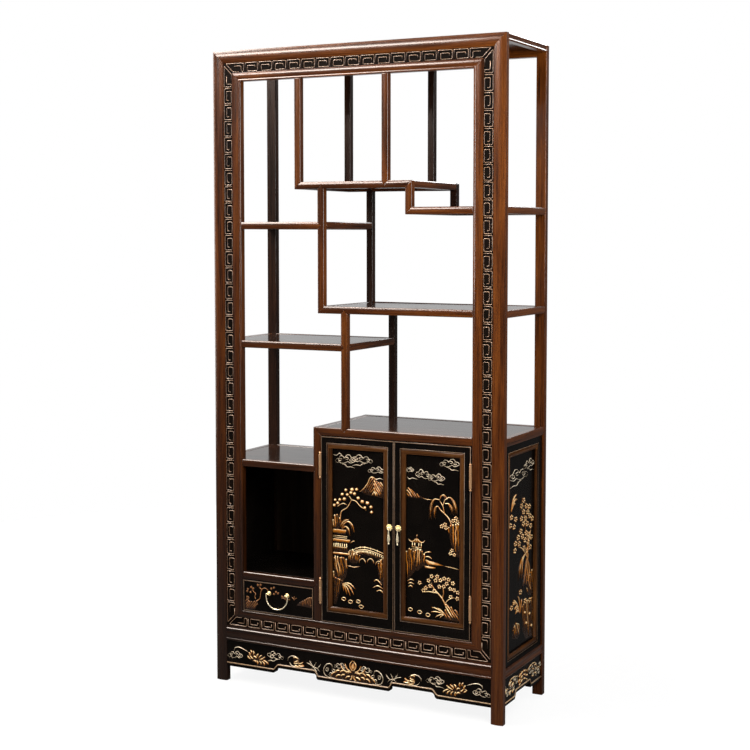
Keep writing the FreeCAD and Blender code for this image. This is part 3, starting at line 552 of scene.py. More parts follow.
def eased(path, cut):
    """The same path with each corner rounded."""
    points = [path[0]]
    for before, corner, after in zip(path, path[1:], path[2:]):
        middle = Vector(corner)
        runs = [Vector(other) - middle for other in (before, after)]
        ends = [middle + run.normalized() * min(cut, run.length / fret_ease_share) for run in runs]
        points += [tuple(ends[0]), tuple((ends[0] + ends[1] + 2 * middle) / 4), tuple(ends[1])]
    return points + [path[-1]]


def fret_side(relief, place, length):
    """The meander along one side. place turns steps along and across the border into h and v."""
    run = length - 2 * fret_corner
    count = max(1, round(run / fret_pitch))
    pitch = run / count
    paths = [corner_path(), [(length - s, t) for s, t in corner_path()]]
    paths += [hook_path(fret_corner + index * pitch, pitch) for index in range(count)]
    for path in paths:
        relief.line([place(s, t) for s, t in eased(path, fret_ease)], fret_line, fret_rise)


def make_fret():
    """The meander round the front frame, which replaces the plain border, and the black film under it."""
    low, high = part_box("fret_border")
    half = high.x / MM + fret_margin
    foot, head = low.z / MM - fret_margin, high.z / MM + fret_margin
    relief = Relief((0, high.y / MM, 0), RIGHT, -BACK)
    fret_side(relief, lambda s, t: (s - half, head - t), 2 * half)
    fret_side(relief, lambda s, t: (s - half, foot + t), 2 * half)
    fret_side(relief, lambda s, t: (t - half, head - s), head - foot)
    fret_side(relief, lambda s, t: (half - t, head - s), head - foot)
    fret = relief.make("fret_lines", fret_paint, "cabinet", "fret_lacquer")
    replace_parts(fret, "fret_border")
    ground = Relief((0, high.y / MM - fret_ground, 0), RIGHT, -BACK)
    rows = [[(-half + inset, foot + inset, 0), (half - inset, foot + inset, 0),
             (half - inset, head - inset, 0), (-half + inset, head - inset, 0)] for inset in (0, fret_band)]
    ground.add_rows(rows, 0, True)
    ground.make("fret_ground", black_ground, "cabinet", "black_lacquer")


make_fret()


# Brass: turned, bent and flat forms that make one piece
def joint_place(name):
    found = next(joint for joint in frame["joints"] if joint["name"] == name)
    return Vector(found["pos_m"]) / MM


def across_axes(axis):
    first = BACK if abs(axis.x) > 0.5 else RIGHT
    return first, axis.cross(first)


rod_sides = 14


class Solid:
    def __init__(self):
        self.points, self.faces = [], []

    def rings(self, rings):
        size = (len(self.points), len(rings), len(rings[0]))
        for ring in rings:
            self.points += ring
        self.faces += faces_between(*size) + end_faces(*size)

    def turned(self, base, axis, profile, sides=24):
        """A form turned about an axis, from pairs of a distance along it and a radius."""
        u, v = across_axes(axis)
        angles = [math.tau * index / sides for index in range(sides)]
        self.rings([[base + axis * along + (u * math.cos(angle) + v * math.sin(angle)) * radius
                     for angle in angles] for along, radius in profile])

    def tube(self, path, side, radii):
        """A round rod along a flat path. side points out of the path's plane."""
        rings = []
        for index, (point, radius) in enumerate(zip(path, radii)):
            run = (path[min(index + 1, len(path) - 1)] - path[max(index - 1, 0)]).normalized()
            across = side.cross(run)
            rings.append([point + (side * math.cos(angle) + across * math.sin(angle)) * radius
                          for angle in (math.tau * step / rod_sides for step in range(rod_sides))])
        self.rings(rings)

    def block(self, low, high):
        corners = [(low[0], low[1]), (high[0], low[1]), (high[0], high[1]), (low[0], high[1])]
        self.rings([[Vector((x, y, z)) for x, y in corners] for z in (low[2], high[2])])

    def make(self, name, body, edge=0.25, material=brass):
        made = new_object(name, self.points, self.faces, material, body)
        bevel(made, edge)
        made.modifiers.new("normals", "WEIGHTED_NORMAL")
        return made


barrel_tall = 3 * knuckle + 2 * knuckle_gap
finial_tall = 8.6
finial_radius = 3.6
finial_shares = ((0, 0.5), (0.12, 0.62), (0.2, 0.5), (0.34, 0.86), (0.55, 1), (0.76, 0.86), (0.9, 0.5),
                 (1, 0.2))
leaf_clear = 0.3  # between a leaf and the pin's line
knuckle_round = 0.5
screw_profile = ((0, 3.2), (0.08, 3.1), (0.16, 2.4))
screw_shares = (0.17, 0.5, 0.83)  # of the hinge's height
screw_inset_share = 0.55  # of the leaf's width
upper_hinge = joint_place("left_door_hinge").z
lower_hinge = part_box("hinge_pins")[0].z / MM + finial_tall + barrel_tall / 2


def add_leaf(solid, pin, wall, foot, starts):
    """A hinge leaf: a plate in the gap beside the door, its knuckles, and three screws. wall is the side on
    which the plate lies."""
    x0, x1 = sorted((pin.x + wall * leaf_clear, pin.x + wall * (leaf_clear + leaf_thick)))
    solid.block((x0, front_y, foot), (x1, front_y + leaf_width, foot + barrel_tall))
    for start in starts:
        profile = ((0, hinge_barrel - knuckle_round), (knuckle_round, hinge_barrel),
                   (knuckle - knuckle_round, hinge_barrel), (knuckle, hinge_barrel - knuckle_round))
        solid.turned(Vector((pin.x, pin.y, start)), UP, profile)
        solid.block((x0, pin.y, start), (x1, front_y + 1, start + knuckle))
    for share in screw_shares:
        head = Vector((pin.x + wall * leaf_clear, front_y + leaf_width * screw_inset_share,
                       foot + barrel_tall * share))
        solid.turned(head, RIGHT * -wall, screw_profile, 18)


def make_hinges():
    """Two hinges to each door: leaves on the frame, leaves on the doors, and the pins' turned ends."""
    frame_leaves, pins = Solid(), Solid()
    door_leaves = {name: Solid() for name in sides}
    for name, side in sides.items():
        pin = joint_place(name + "_door_hinge")
        for middle in (upper_hinge, lower_hinge):
            foot = middle - barrel_tall / 2
            step = knuckle + knuckle_gap
            add_leaf(frame_leaves, pin, side, foot, (foot, foot + 2 * step))
            add_leaf(door_leaves[name], pin, -side, foot, (foot + step,))
            for end, axis in ((foot, -UP), (foot + barrel_tall, UP)):
                profile = [(finial_tall * along, finial_radius * radius) for along, radius in finial_shares]
                pins.turned(Vector((pin.x, pin.y, end)), axis, profile)
    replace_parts(frame_leaves.make("frame_leaves", "cabinet", 0.15, old_brass), "hinge_frame_leaves")
    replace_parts(pins.make("hinge_finials", "cabinet", 0.25, old_brass), "hinge_pins")
    for name, solid in door_leaves.items():
        leaves = solid.make(name + "_door_leaves", name + "_door", 0.15, old_brass)
        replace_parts(leaves, name + "_hinge_leaves")


# Profiles are pairs of a distance along the axis and a radius
petals = 8
petal_ring = 7.3
rosette_rim = ((0, 8.6), (0.9, 8.4), (1.3, 7.6))
rosette_petal = ((0, 3.1), (0.9, 3.0), (1.7, 2.3), (2.1, 1.1))
rosette_boss = ((0, 4.6), (1.9, 4.5), (2.6, 3.6), (3.0, 2.4))
rosette_stud = ((-2.2, 2.0), (-1.4, 2.4), (1.6, 2.4), (2.5, 1.7), (3, 0.6))  # from the drop's pivot
stud_root = 2.1
cheek_inner, cheek_outer = 2.6, 3.9
cheek_profile = ((0, 2.3), (0.3, 2.6), (1.0, 2.6), (1.3, 2.2))
bar_half, bar_high, bar_low = 1.3, 4.04, 5.34
eye_pin = 1.0
drop_profile = ((bar_low - 0.9, 1.5), (7.5, 1.4), (9, 2.2), (10.2, 1.4), (13, 1.7), (21, 2.6), (29, 4.0),
                (34, 4.15), (38, 4.0), (41.5, 3.1), (43.6, 1.7), (44.8, 1.4), (46, 2.0), (47.6, 2.4),
                (49.4, 2.0), (50.6, 1.1), (51, 0.4))


def make_rosette(name, pivot):
    """A flower rosette on the door, with the stud that carries the drop."""
    face = Vector((pivot.x, front_y, pivot.z))
    reach = front_y - pivot.y
    rosette = Solid()
    rosette.turned(face, -BACK, rosette_rim, 32)
    for index in range(petals):
        angle = math.tau * (index + 0.5) / petals
        petal = face + (RIGHT * math.cos(angle) + UP * math.sin(angle)) * petal_ring
        rosette.turned(petal, -BACK, rosette_petal, 14)
    rosette.turned(face, -BACK, rosette_boss)
    stud = [(reach + along, radius) for along, radius in rosette_stud]
    rosette.turned(face, -BACK, [(0, stud_root)] + stud)
    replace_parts(rosette.make(name + "_rosette", name + "_door"), name + "_pull_rosette")


def make_drop(name, pivot):
    """The drop that hangs from a rosette's stud: a turned body under a fork of two cheeks."""
    drop = Solid()
    drop.turned(pivot, -UP, drop_profile)
    y0, y1 = pivot.y - bar_half, pivot.y + bar_half
    for side in (-1, 1):
        drop.turned(pivot + RIGHT * side * cheek_inner, RIGHT * side, cheek_profile, 20)
        x0, x1 = sorted((pivot.x + side * cheek_inner, pivot.x + side * cheek_outer))
        drop.block((x0, y0, pivot.z - bar_low), (x1, y1, pivot.z))
    drop.block((pivot.x - cheek_outer, y0, pivot.z - bar_low), (pivot.x + cheek_outer, y1, pivot.z - bar_high))
    drop.turned(pivot - RIGHT * cheek_outer, RIGHT, ((0, eye_pin), (2 * cheek_outer, eye_pin)), 16)
    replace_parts(drop.make(name + "_drop", name + "_pull", material=brass_painted_sheen), name + "_pull_drop")


bail_spacing = 66.0
bail_arm = 7.5
bail_wire = 1.9
bail_stud = 3.6
bail_clear = 0.3
bail_past = 1.6
bail_bend = 28  # steps round the grip
bail_thin_share = 0.8  # of the wire, at its ends
pin_radius, pin_nose, pin_nose_long = 1.3, 0.9, 0.4
post_washer = ((0, 7.5), (0.5, 7.5), (1.0, 7.0), (1.2, 6.2))
post_foot = ((0, 5.2), (1.6, 5.0), (2.3, 4.0), (2.8, 2.9))
# From the bail's pivot
post_head = ((-3.3, 2.5), (-2.4, 3.1), (-0.9, 3.6), (1, 3.6), (2.6, 2.8), (3.4, 1.6), (3.6, 0.6))


def make_bail():
    """Two posts on the drawer, and the bail whose pins go through them."""
    pivot = joint_place("drawer_bail_swing")
    face_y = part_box("bail_posts")[1].y / MM
    reach = face_y - pivot.y
    posts, bail = Solid(), Solid()
    half = bail_spacing / 2 + bail_stud + bail_clear + bail_wire
    pin = bail_wire + bail_clear + 2 * bail_stud + bail_past
    pin_profile = ((0, pin_radius), (pin - pin_nose_long, pin_radius), (pin, pin_nose))
    head = tuple((reach + along, radius) for along, radius in post_head)
    for side in (-1, 1):
        foot = Vector((pivot.x + side * bail_spacing / 2, face_y, pivot.z))
        posts.turned(foot, -BACK, post_washer, 36)
        posts.turned(foot, -BACK, post_foot + head, 28)
        bail.turned(pivot + RIGHT * side * half, RIGHT * -side, pin_profile, 16)
    low = pivot.z - bail_arm
    path = [Vector((pivot.x + half, pivot.y, pivot.z + bail_wire))]
    for step in range(bail_bend + 1):
        angle = math.pi * step / bail_bend
        path.append(Vector((pivot.x + half * math.cos(angle), pivot.y, low - half * math.sin(angle))))
    path.append(Vector((pivot.x - half, pivot.y, pivot.z + bail_wire)))
    last = len(path) - 1
    radii = [bail_wire * (bail_thin_share + (1 - bail_thin_share) * math.sin(math.pi * index / last))
             for index in range(last + 1)]
    bail.tube(path, BACK, radii)
    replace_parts(posts.make("bail_studs", "drawer"), "bail_posts")
    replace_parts(bail.make("bail_grip", "bail", material=brass_painted_sheen), "drawer_bail")


make_hinges()
for name in sides:
    pull_pivot = joint_place(name + "_pull_swing")
    make_rosette(name, pull_pivot)
    make_drop(name, pull_pivot)
make_bail()


# Thin beads round the doors, their panels, the side panels and the drawer's front: the inset from a box, the
# bead's width and its rise
leaf_bead = (1.6, 2.6, 0.7)
panel_line = (-0.8, 1.8, 0.6)
drawer_bead = (2.0, 3.4, 0.5)


def add_ring(relief, box, axis, inset, wide, rise):
    low, high = (corner / MM for corner in box)
    h0, h1, v0, v1 = low[axis] + inset, high[axis] - inset, low.z + inset, high.z - inset
    relief.line([(h0, v0), (h1, v0), (h1, v1), (h0, v1)], wide, rise, closed=True)


def make_front_edge(name, body, face_box, rings):
    relief = Relief((0, face_box[0].y / MM, 0), RIGHT, -BACK)
    for box, sizes in rings:
        add_ring(relief, box, 0, *sizes)
    relief.make(name, edge_line, body)


def make_side_edge(name, side):
    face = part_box(name + "_side_frame")[1 if side > 0 else 0].x / MM
    relief = Relief((face, 0, 0), BACK, RIGHT * side)
    add_ring(relief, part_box(name + "_side_panel"), 1, *panel_line)
    relief.make(name + "_side_edge", edge_line, "cabinet")


for name in sides:
    leaf_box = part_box(name + "_door_frame")
    make_front_edge(name + "_door_edge", name + "_door", leaf_box,
                    [(leaf_box, leaf_bead), (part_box(name + "_door_bead"), panel_line)])
drawer_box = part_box("drawer_front")
make_front_edge("drawer_edge", "drawer", drawer_box, [(drawer_box, drawer_bead)])
for name, side in sides.items():
    make_side_edge(name, side)


# Ornament. On a panel a place is in thousandths of it, from its left edge and its top.
# Low forms: their small rise takes the gilding's painted shade
low_rings = ((1, 0), (0.95, 0.28), (0.8, 0.34), (0.5, 0.36))
low_rise = 0.9
leaf_rise = 1.8
petal_rise = 2.0
petal_reach, petal_size = 0.68, 0.42  # of a flower's radius
curl_core = 0.3  # of a spiral's radius, where it ends


def circle(centre, radius, sides=10, lobes=0, depth=0.0, turn=0.0, squash=1.0):
    points = []
    for index in range(sides):
        angle = math.tau * index / sides
        reach = radius * (1 + depth * math.cos(lobes * angle))
        points.append((centre[0] + reach * math.cos(angle + turn),
                       centre[1] + reach * squash * math.sin(angle + turn)))
    return points


def tufts(relief, spots, radius, rise=3.4, squash=1.0):
    """Round tufts of leaves, each a scalloped dome."""
    for place in relief.places(spots):
        size = radius * random.uniform(0.85, 1.1)
        relief.dome(circle(place, size, 15, 5, 0.1, random.uniform(0, 1), squash), rise)


def blossoms(relief, spots, radius, squash=1.0):
    """Flowers of five petals round a dark eye."""
    for h, v in relief.places(spots):
        turn = random.uniform(0, 1)
        relief.dome(circle((h, v), radius, 10, squash=squash), 0.7, low_rings)
        for petal in range(5):
            angle = turn + math.tau * petal / 5
            place = (h + petal_reach * radius * math.cos(angle),
                     v + petal_reach * radius * squash * math.sin(angle))
            relief.dome(circle(place, radius * petal_size, 8, squash=squash), petal_rise)


def pebbles(relief, spots, radius):
    """Flat ovals, each with a rim."""
    for place in relief.places(spots):
        outline = circle(place, radius, 12, squash=0.7)
        relief.dome(outline, 0.8, low_rings)
        relief.line(outline, 2.6, 1.8, closed=True)


def curl(centre, radius, start, turns):
    """A spiral that winds in from its start angle, in turns of a circle."""
    count = max(6, int(abs(turns) * 14))
    path = []
    for index in range(count + 1):
        share = index / count
        reach = radius * (1 - (1 - curl_core) * share)
        angle = math.tau * (start + turns * share)
        path.append((centre[0] + reach * math.cos(angle), centre[1] + reach * math.sin(angle)))
    return path


def blades(relief, root, tips, width, rise=leaf_rise, bow=0.22):
    """Leaves that bow upward from one root to each tip."""
    start = Vector(relief.at(*root))
    for tip in tips:
        end = Vector(relief.at(*tip))
        run = end - start
        middle = start + run * 0.55 + Vector((0, run.length * bow))
        relief.line(smooth_path([tuple(start), tuple(middle), tuple(end)], 5), width, rise, (0.45, 0.12))


def bundle(relief, spots, count=3, spread=4.0, width=3.0):
    """Leaves side by side that share a root and part towards their tips."""
    places = relief.places(spots)
    for index in range(count):
        offset = (index - (count - 1) / 2) * spread
        path = [(h + offset * min(1, 1.8 * step / len(spots)), v - abs(offset) * step / len(spots))
                for step, (h, v) in enumerate(places)]
        relief.line(smooth_path(path), width, leaf_rise, (0.8, 0.15), tone=1.05 if index % 2 else 0.6)


cloud_edge = [(-1.0, -0.1), (-0.86, 0.2), (-0.64, 0.28), (-0.5, 0.64), (-0.24, 0.6), (-0.06, 0.36),
              (0.12, 0.8), (0.42, 0.86), (0.6, 0.5), (0.84, 0.42), (1.0, 0.1), (0.8, -0.14), (0.5, -0.3),
              (0.24, -0.12), (-0.02, -0.34), (-0.36, -0.42), (-0.62, -0.24), (-0.84, -0.36)]
cloud_curls = [curl((-0.52, 0.06), 0.24, 0.1, 1.0), curl((0.12, 0.3), 0.28, 0.55, -1.0),
               curl((0.6, 0.12), 0.22, 0.2, 1.0)]
cloud_tail = [[(-0.3, -0.52), (0.0, -0.62), (0.2, -0.9), (0.55, -0.84), (0.92, -1.0)]]


def cloud(relief, spot, wide, tall, flip=1, tail=True, width=1.9):
    """A scrolled cloud of thin lines about its place. flip mirrors it, and tail adds its wisp."""
    h, v = relief.at(*spot)
    for stroke in [cloud_edge + cloud_edge[:1]] + cloud_curls + (cloud_tail if tail else []):
        path = [(h + flip * x * wide / 2, v + z * tall / 2) for x, z in stroke]
        relief.line(smooth_path(path, 3), width, 1.5, (0.6, 0.4))


def hatch(relief, outline, angle, gap, width):
    """Wavy strokes across an outline, side by side. They fall at an angle in degrees and thin to their ends."""
    cosine, sine = math.cos(math.radians(angle)), math.sin(math.radians(angle))
    turned = [(h * cosine + v * sine, v * cosine - h * sine) for h, v in outline]
    level = min(v for _, v in turned) + gap * 0.4
    while level < max(v for _, v in turned):
        ends = sorted(a[0] + (b[0] - a[0]) * (level - a[1]) / (b[1] - a[1])
                      for a, b in zip(turned, turned[1:] + turned[:1]) if (a[1] > level) != (b[1] > level))
        for first, last in zip(ends[::2], ends[1::2]):
            if last - first > 2 * width:
                last -= (last - first) * random.uniform(0, 0.2)
                count = max(3, int((last - first) / 14))
                path = []
                for step in range(count + 1):
                    along = first + (last - first) * step / count
                    shift = level + random.uniform(-0.26, 0.26) * gap
                    path.append((along * cosine - shift * sine, along * sine + shift * cosine))
                relief.line(smooth_path(path, 3), width, leaf_rise, (1, 0.25), tone=random.uniform(0.5, 1.12))
        level += gap * random.uniform(0.85, 1.15)


def rock(relief, spots, angle, gap=7.4, width=4.8):
    """A low mass, dark with painted shade, with bright strokes that fall over it."""
    outline = relief.places(spots)
    relief.dome(outline, low_rise, low_rings)
    hatch(relief, outline, angle, gap, width)


def slab(relief, u0, u1, v0, v1, rise=leaf_rise, rings=((1, 0), (0.97, 0.7), (0.9, 0.9))):
    relief.dome(relief.places([(u0, v1), (u1, v1), (u1, v0), (u0, v0)]), rise, rings, 0.8)


def tree(relief, strokes, width=5.0):
    """A trunk and its branches, each a list of places, thick at the root."""
    for index, spots in enumerate(strokes):
        path = smooth_path(relief.places(spots))
        relief.line(path, width * (0.7 if index else 1), 2.0, (1, 0.35))


def pavilion(relief, u, v, wide, tall):
    """A small open pavilion with lifted eaves. u, v is the foot of its middle, and wide its eaves."""
    h, foot = relief.at(u, v)
    eaves, peak = foot + tall * 0.44, foot + tall * 0.78
    half = wide / 2
    slope = [(0.45, eaves - 1), (1, eaves + 3), (0.5, eaves + tall * 0.12), (0.14, peak - tall * 0.06)]
    right = [(h + half * share, v) for share, v in slope]
    left = [(h - half * share, v) for share, v in slope]
    roof = [left[1], left[0], (h, eaves - 1.6)] + right + [(h, peak), left[3], left[2]]
    relief.dome(roof, 1.6, ((1, 0), (0.9, 0.5), (0.66, 0.62), (0.3, 0.66)))
    relief.line([(h, peak - 3), (h, foot + tall)], 3.0, 2.0, (1, 0.4))
    for share in (-0.5, 0, 0.5):
        relief.line([(h + half * share * 0.3, peak - 5), (h + half * share * 1.3, eaves)], 2.2, 2.0)
    for share in (-0.62, -0.28, 0.28, 0.62):
        relief.line([(h + half * share, foot), (h + half * share, eaves - 1)], 2.6, 1.5)
    for level in (0.0, 0.13):
        relief.line([(h - half * 0.7, foot + tall * level), (h + half * 0.7, foot + tall * level)], 2.4, 1.5)
    for side in (-1, 1):
        relief.line(smooth_path([(h + side * half * 0.5, eaves + 1), (h + side * half * 0.95, eaves + 3.4),
                                 (h + side * half * 1.12, eaves + 9)], 3), 3.2, 2.0, (0.8, 0.3))


def bridge(relief, spots, deep, posts):
    """An arched bridge: two rails over a dark band, with a comb of strokes below them."""
    deck = smooth_path(relief.places(spots), 6)
    relief.line([(h, v - deep * 0.55) for h, v in deck], deep * 0.62, 0.35, tone=0.42)
    relief.line(deck, 2.6, 1.7)
    relief.line([(h, v - deep * 0.26) for h, v in deck], 2.6, 1.7)
    step = max(1, len(deck) // posts)
    for index, (h, v) in enumerate(deck):
        relief.line([(h, v - deep * 0.36), (h - 0.6, v - deep * random.uniform(0.8, 1.0))], 2.6, 1.4, (1, 0.3))
        if index % step == 0:
            relief.line([(h, v - deep * 0.26), (h, v + 2.6)], 2.0, 1.6)


def arches(relief, spots, radius):
    for h, v in relief.places(spots):
        path = [(h + radius * math.cos(angle), v + radius * 1.3 * math.sin(angle))
                for angle in (math.pi * index / 10 for index in range(11))]
        relief.line(path, 2.6, 1.7)


# The landscape on the left door: clouds, a hill, a tree of round tufts, a house, a bridge and rocks
def left_door_ornament(gold, pale):
    pale.stroke([(10, 40), (80, 43), (140, 28), (200, 50)], 2.2, 1.4)
    cloud(pale, (250, 72), 70, 42)
    cloud(pale, (580, 62), 72, 36, -1)
    cloud(pale, (850, 122), 58, 30, tail=False)
    pale.stroke([(760, 158), (840, 172), (920, 166), (1000, 174)], 2.4, 1.3)
    rock(gold, [(540, 258), (620, 236), (700, 200), (770, 163), (820, 176), (800, 278), (660, 274)],
         -122, 6)
    rock(gold, [(800, 170), (870, 192), (920, 186), (995, 200), (995, 288), (800, 280)], -58, 6)
    gold.stroke([(520, 262), (600, 240), (680, 206), (740, 166), (800, 164), (860, 180)], 4.2, 2.2)
    tree(gold, [[(150, 450), (170, 395), (280, 368), (340, 336), (370, 313)],
                [(360, 315), (450, 320), (550, 352), (660, 370)], [(90, 366), (200, 342), (280, 350)],
                [(370, 313), (320, 290)]], 4.0)
    tufts(gold, [(260, 258), (190, 287), (380, 252), (470, 248), (290, 286), (430, 277),
                 (50, 326), (140, 322), (230, 316), (30, 360), (500, 302), (580, 322),
                 (680, 328), (750, 350), (760, 382), (630, 358), (100, 345), (360, 272)], 6.2)
    rock(gold, [(10, 440), (30, 420), (90, 412), (130, 428), (160, 455), (140, 503), (10, 503)],
         -84, 7, 5.4)
    bundle(gold, [(170, 500), (220, 468), (300, 452), (370, 472), (410, 522)], 2, 5.5, 4.6)
    bundle(gold, [(180, 505), (250, 486), (300, 500), (325, 540)], 2, 5, 4.4)
    bundle(gold, [(150, 490), (190, 462), (250, 444), (310, 434)], 2, 5, 4)
    slab(gold, 0, 260, 508, 536)
    slab(gold, 0, 340, 568, 590)
    slab(gold, 0, 300, 594, 648, 0.9, low_rings)
    slab(gold, 0, 340, 654, 670)
    for top in (549, 559, 620):
        gold.line([gold.at(0, top), gold.at(280, top)], 2.4, 1.5)
    for index in range(7):
        along = 20 + 42 * index
        gold.line([gold.at(along, 596), gold.at(along, 646)], 3.0, 1.5)
    gold.stroke([(350, 588), (390, 576), (430, 572)], 3.4, 1.4)
    bridge(gold, [(400, 630), (500, 611), (630, 604), (800, 612), (1000, 632)], 28, 6)
    arches(gold, [(580, 706), (740, 700), (900, 710)], 11)
    rock(gold, [(300, 645), (380, 622), (460, 648), (550, 662), (530, 692), (470, 710), (380, 714),
                (310, 700)], -100, 5.2, 3.4)
    gold.stroke([(280, 730), (400, 737), (540, 728)], 2.2, 0.6)
    rock(gold, [(910, 672), (995, 660), (995, 835), (930, 820), (890, 770), (880, 715)], -94, 5.2, 3.6)
    for spots in ([(960, 832), (870, 800), (800, 812)], [(980, 852), (880, 836), (780, 852)],
                  [(990, 882), (930, 862), (850, 870)]):
        gold.stroke(spots, 4.0, 2.0)
    rock(gold, [(10, 690), (60, 675), (140, 684), (200, 678), (280, 695), (290, 740), (270, 800),
                (200, 835), (100, 830), (10, 820)], -82)
    rock(gold, [(10, 810), (120, 820), (220, 830), (160, 870), (120, 920), (60, 985), (10, 985)],
         -98)
    blades(gold, (190, 850), [(440, 875), (420, 915), (350, 928), (280, 918), (400, 895), (220, 900)],
           4.4)
    pebbles(gold, [(216, 945), (348, 958), (500, 950), (560, 980)], 7)


# The landscape on the right door: clouds, a willow, a pavilion on a rock, shoals and a blossom tree
def right_door_ornament(gold, pale):
    cloud(pale, (800, 44), 64, 36)
    cloud(pale, (60, 100), 28, 22, tail=False)
    pale.stroke([(10, 140), (60, 152), (120, 145), (210, 152)], 2.4, 1.3)
    cloud(pale, (320, 125), 52, 40, -1, tail=False)
    cloud(pale, (560, 138), 54, 34)
    rock(gold, [(10, 205), (90, 215), (200, 240), (330, 262), (200, 268), (10, 264)], -48, 6, 4)
    gold.stroke([(300, 262), (400, 268), (480, 268)], 1.8, 0.6)
    tree(gold, [[(840, 410), (790, 372), (710, 345), (640, 325), (600, 306)],
                [(710, 345), (680, 300), (620, 268)], [(680, 300), (720, 262), (780, 250)]], 3.8)
    bundle(gold, [(620, 266), (530, 262), (475, 290), (455, 335), (445, 388)])
    bundle(gold, [(600, 305), (555, 308), (530, 335), (525, 380)])
    bundle(gold, [(620, 270), (650, 240), (700, 232), (750, 250)], 3, 3)
    bundle(gold, [(740, 250), (820, 245), (880, 268), (915, 310), (925, 345)])
    bundle(gold, [(720, 285), (790, 283), (840, 308), (850, 345)])
    blossoms(gold, [(920, 368), (870, 385), (950, 390), (720, 412), (660, 425), (740, 432)], 6.4)
    rock(gold, [(780, 430), (840, 408), (920, 400), (995, 400), (995, 605), (930, 600), (880, 560),
                (830, 530), (800, 480)], -90)
    blossoms(gold, [(850, 565), (820, 585), (890, 590)], 5.6)
    pavilion(gold, 200, 580, 47, 45)
    rock(gold, [(10, 590), (50, 578), (110, 584), (160, 600), (170, 715), (100, 745), (40, 770),
                (10, 770)], -88)
    rock(gold, [(160, 590), (210, 572), (280, 578), (340, 602), (360, 640), (350, 672), (280, 690),
                (220, 712), (160, 712)], -94)
    for spots in ([(330, 602), (400, 590), (470, 588)], [(340, 622), (420, 618), (480, 630)],
                  [(350, 640), (420, 645), (450, 662)], [(20, 785), (80, 770), (150, 775)],
                  [(30, 800), (90, 790), (150, 798)], [(40, 820), (90, 808), (120, 820)]):
        gold.stroke(spots, 3.6, 1.8)
    gold.dome(gold.places([(360, 640), (500, 646), (740, 664), (500, 670), (360, 668)]), 2.0)
    gold.dome(gold.places([(340, 676), (560, 679), (540, 690), (340, 692)]), 1.8)
    gold.stroke([(700, 664), (850, 670), (970, 676)], 1.8, 0.6)
    tree(gold, [[(740, 910), (674, 865), (593, 835), (520, 810), (470, 780)],
                [(674, 865), (700, 830), (680, 790)], [(593, 835), (450, 832), (330, 838)],
                [(720, 895), (800, 865), (900, 850)]], 4.0)
    blossoms(gold, [(256, 785), (326, 830), (420, 765), (477, 737), (580, 735), (550, 760),
                    (450, 797), (640, 755), (710, 742), (790, 745), (756, 772), (870, 765),
                    (700, 792), (890, 805), (960, 818), (830, 850), (950, 855), (530, 825),
                    (370, 812), (620, 795), (820, 800)], 6.4)
    rock(gold, [(700, 990), (720, 930), (745, 890), (800, 902), (870, 922), (950, 925), (995, 940),
                (995, 995), (850, 995)], -54)
    blades(gold, (720, 960), [(480, 925), (460, 955), (540, 985), (620, 990), (580, 925)], 3.8, bow=0.08)
    pebbles(gold, [(80, 956), (256, 966), (410, 976)], 7)


# The tall side panel: clouds, hanging leaves, clusters of tufts and rocks. Its left edge is the cabinet's
# front.
def side_ornament(gold, pale):
    cloud(pale, (800, 75), 84, 40, width=2.4)
    cloud(pale, (400, 115), 150, 54, -1, width=2.4)
    blades(gold, (120, 285), [(340, 205), (260, 215), (360, 230), (300, 250)], 8)
    blossoms(gold, [(140, 310), (300, 330), (100, 350), (240, 365)], 12, squash=0.7)
    blossoms(gold, [(600, 250), (520, 275), (700, 285), (820, 295), (600, 310), (760, 320), (520, 340),
                    (680, 350), (840, 345), (940, 365), (740, 380), (600, 372), (880, 400), (500, 405),
                    (400, 430), (560, 435), (300, 455), (440, 465), (280, 490), (700, 425), (800, 440),
                    (660, 460), (780, 480), (900, 460), (620, 500), (740, 520), (860, 510)], 12, squash=0.72)
    tree(gold, [[(900, 740), (800, 680), (840, 620), (740, 550), (780, 480), (680, 420), (640, 330)],
                [(760, 560), (560, 500), (420, 480)], [(780, 480), (880, 420)]], 7)
    bundle(gold, [(700, 530), (560, 550), (500, 590), (480, 640)], 4, 9, 5.6)
    bundle(gold, [(800, 540), (740, 570), (720, 610), (640, 690)], 4, 9, 5.6)
    rock(gold, [(760, 680), (980, 620), (980, 760), (840, 765), (740, 740)], -80, 10, 6.5)
    blades(gold, (500, 830), [(200, 760), (260, 790), (400, 735), (440, 760), (300, 820), (560, 760)], 9)
    blossoms(gold, [(160, 775), (500, 720), (260, 755), (360, 790), (680, 780), (860, 790)], 12, squash=0.7)
    rock(gold, [(560, 800), (700, 775), (840, 790), (980, 775), (980, 985), (720, 985), (600, 930)],
         -84, 10, 6.5)
    rock(gold, [(200, 935), (220, 885), (340, 862), (460, 880), (500, 930), (400, 955)], -70, 9, 7)
    tufts(gold, [(660, 840), (840, 860), (720, 900), (920, 930)], 9, squash=0.7)


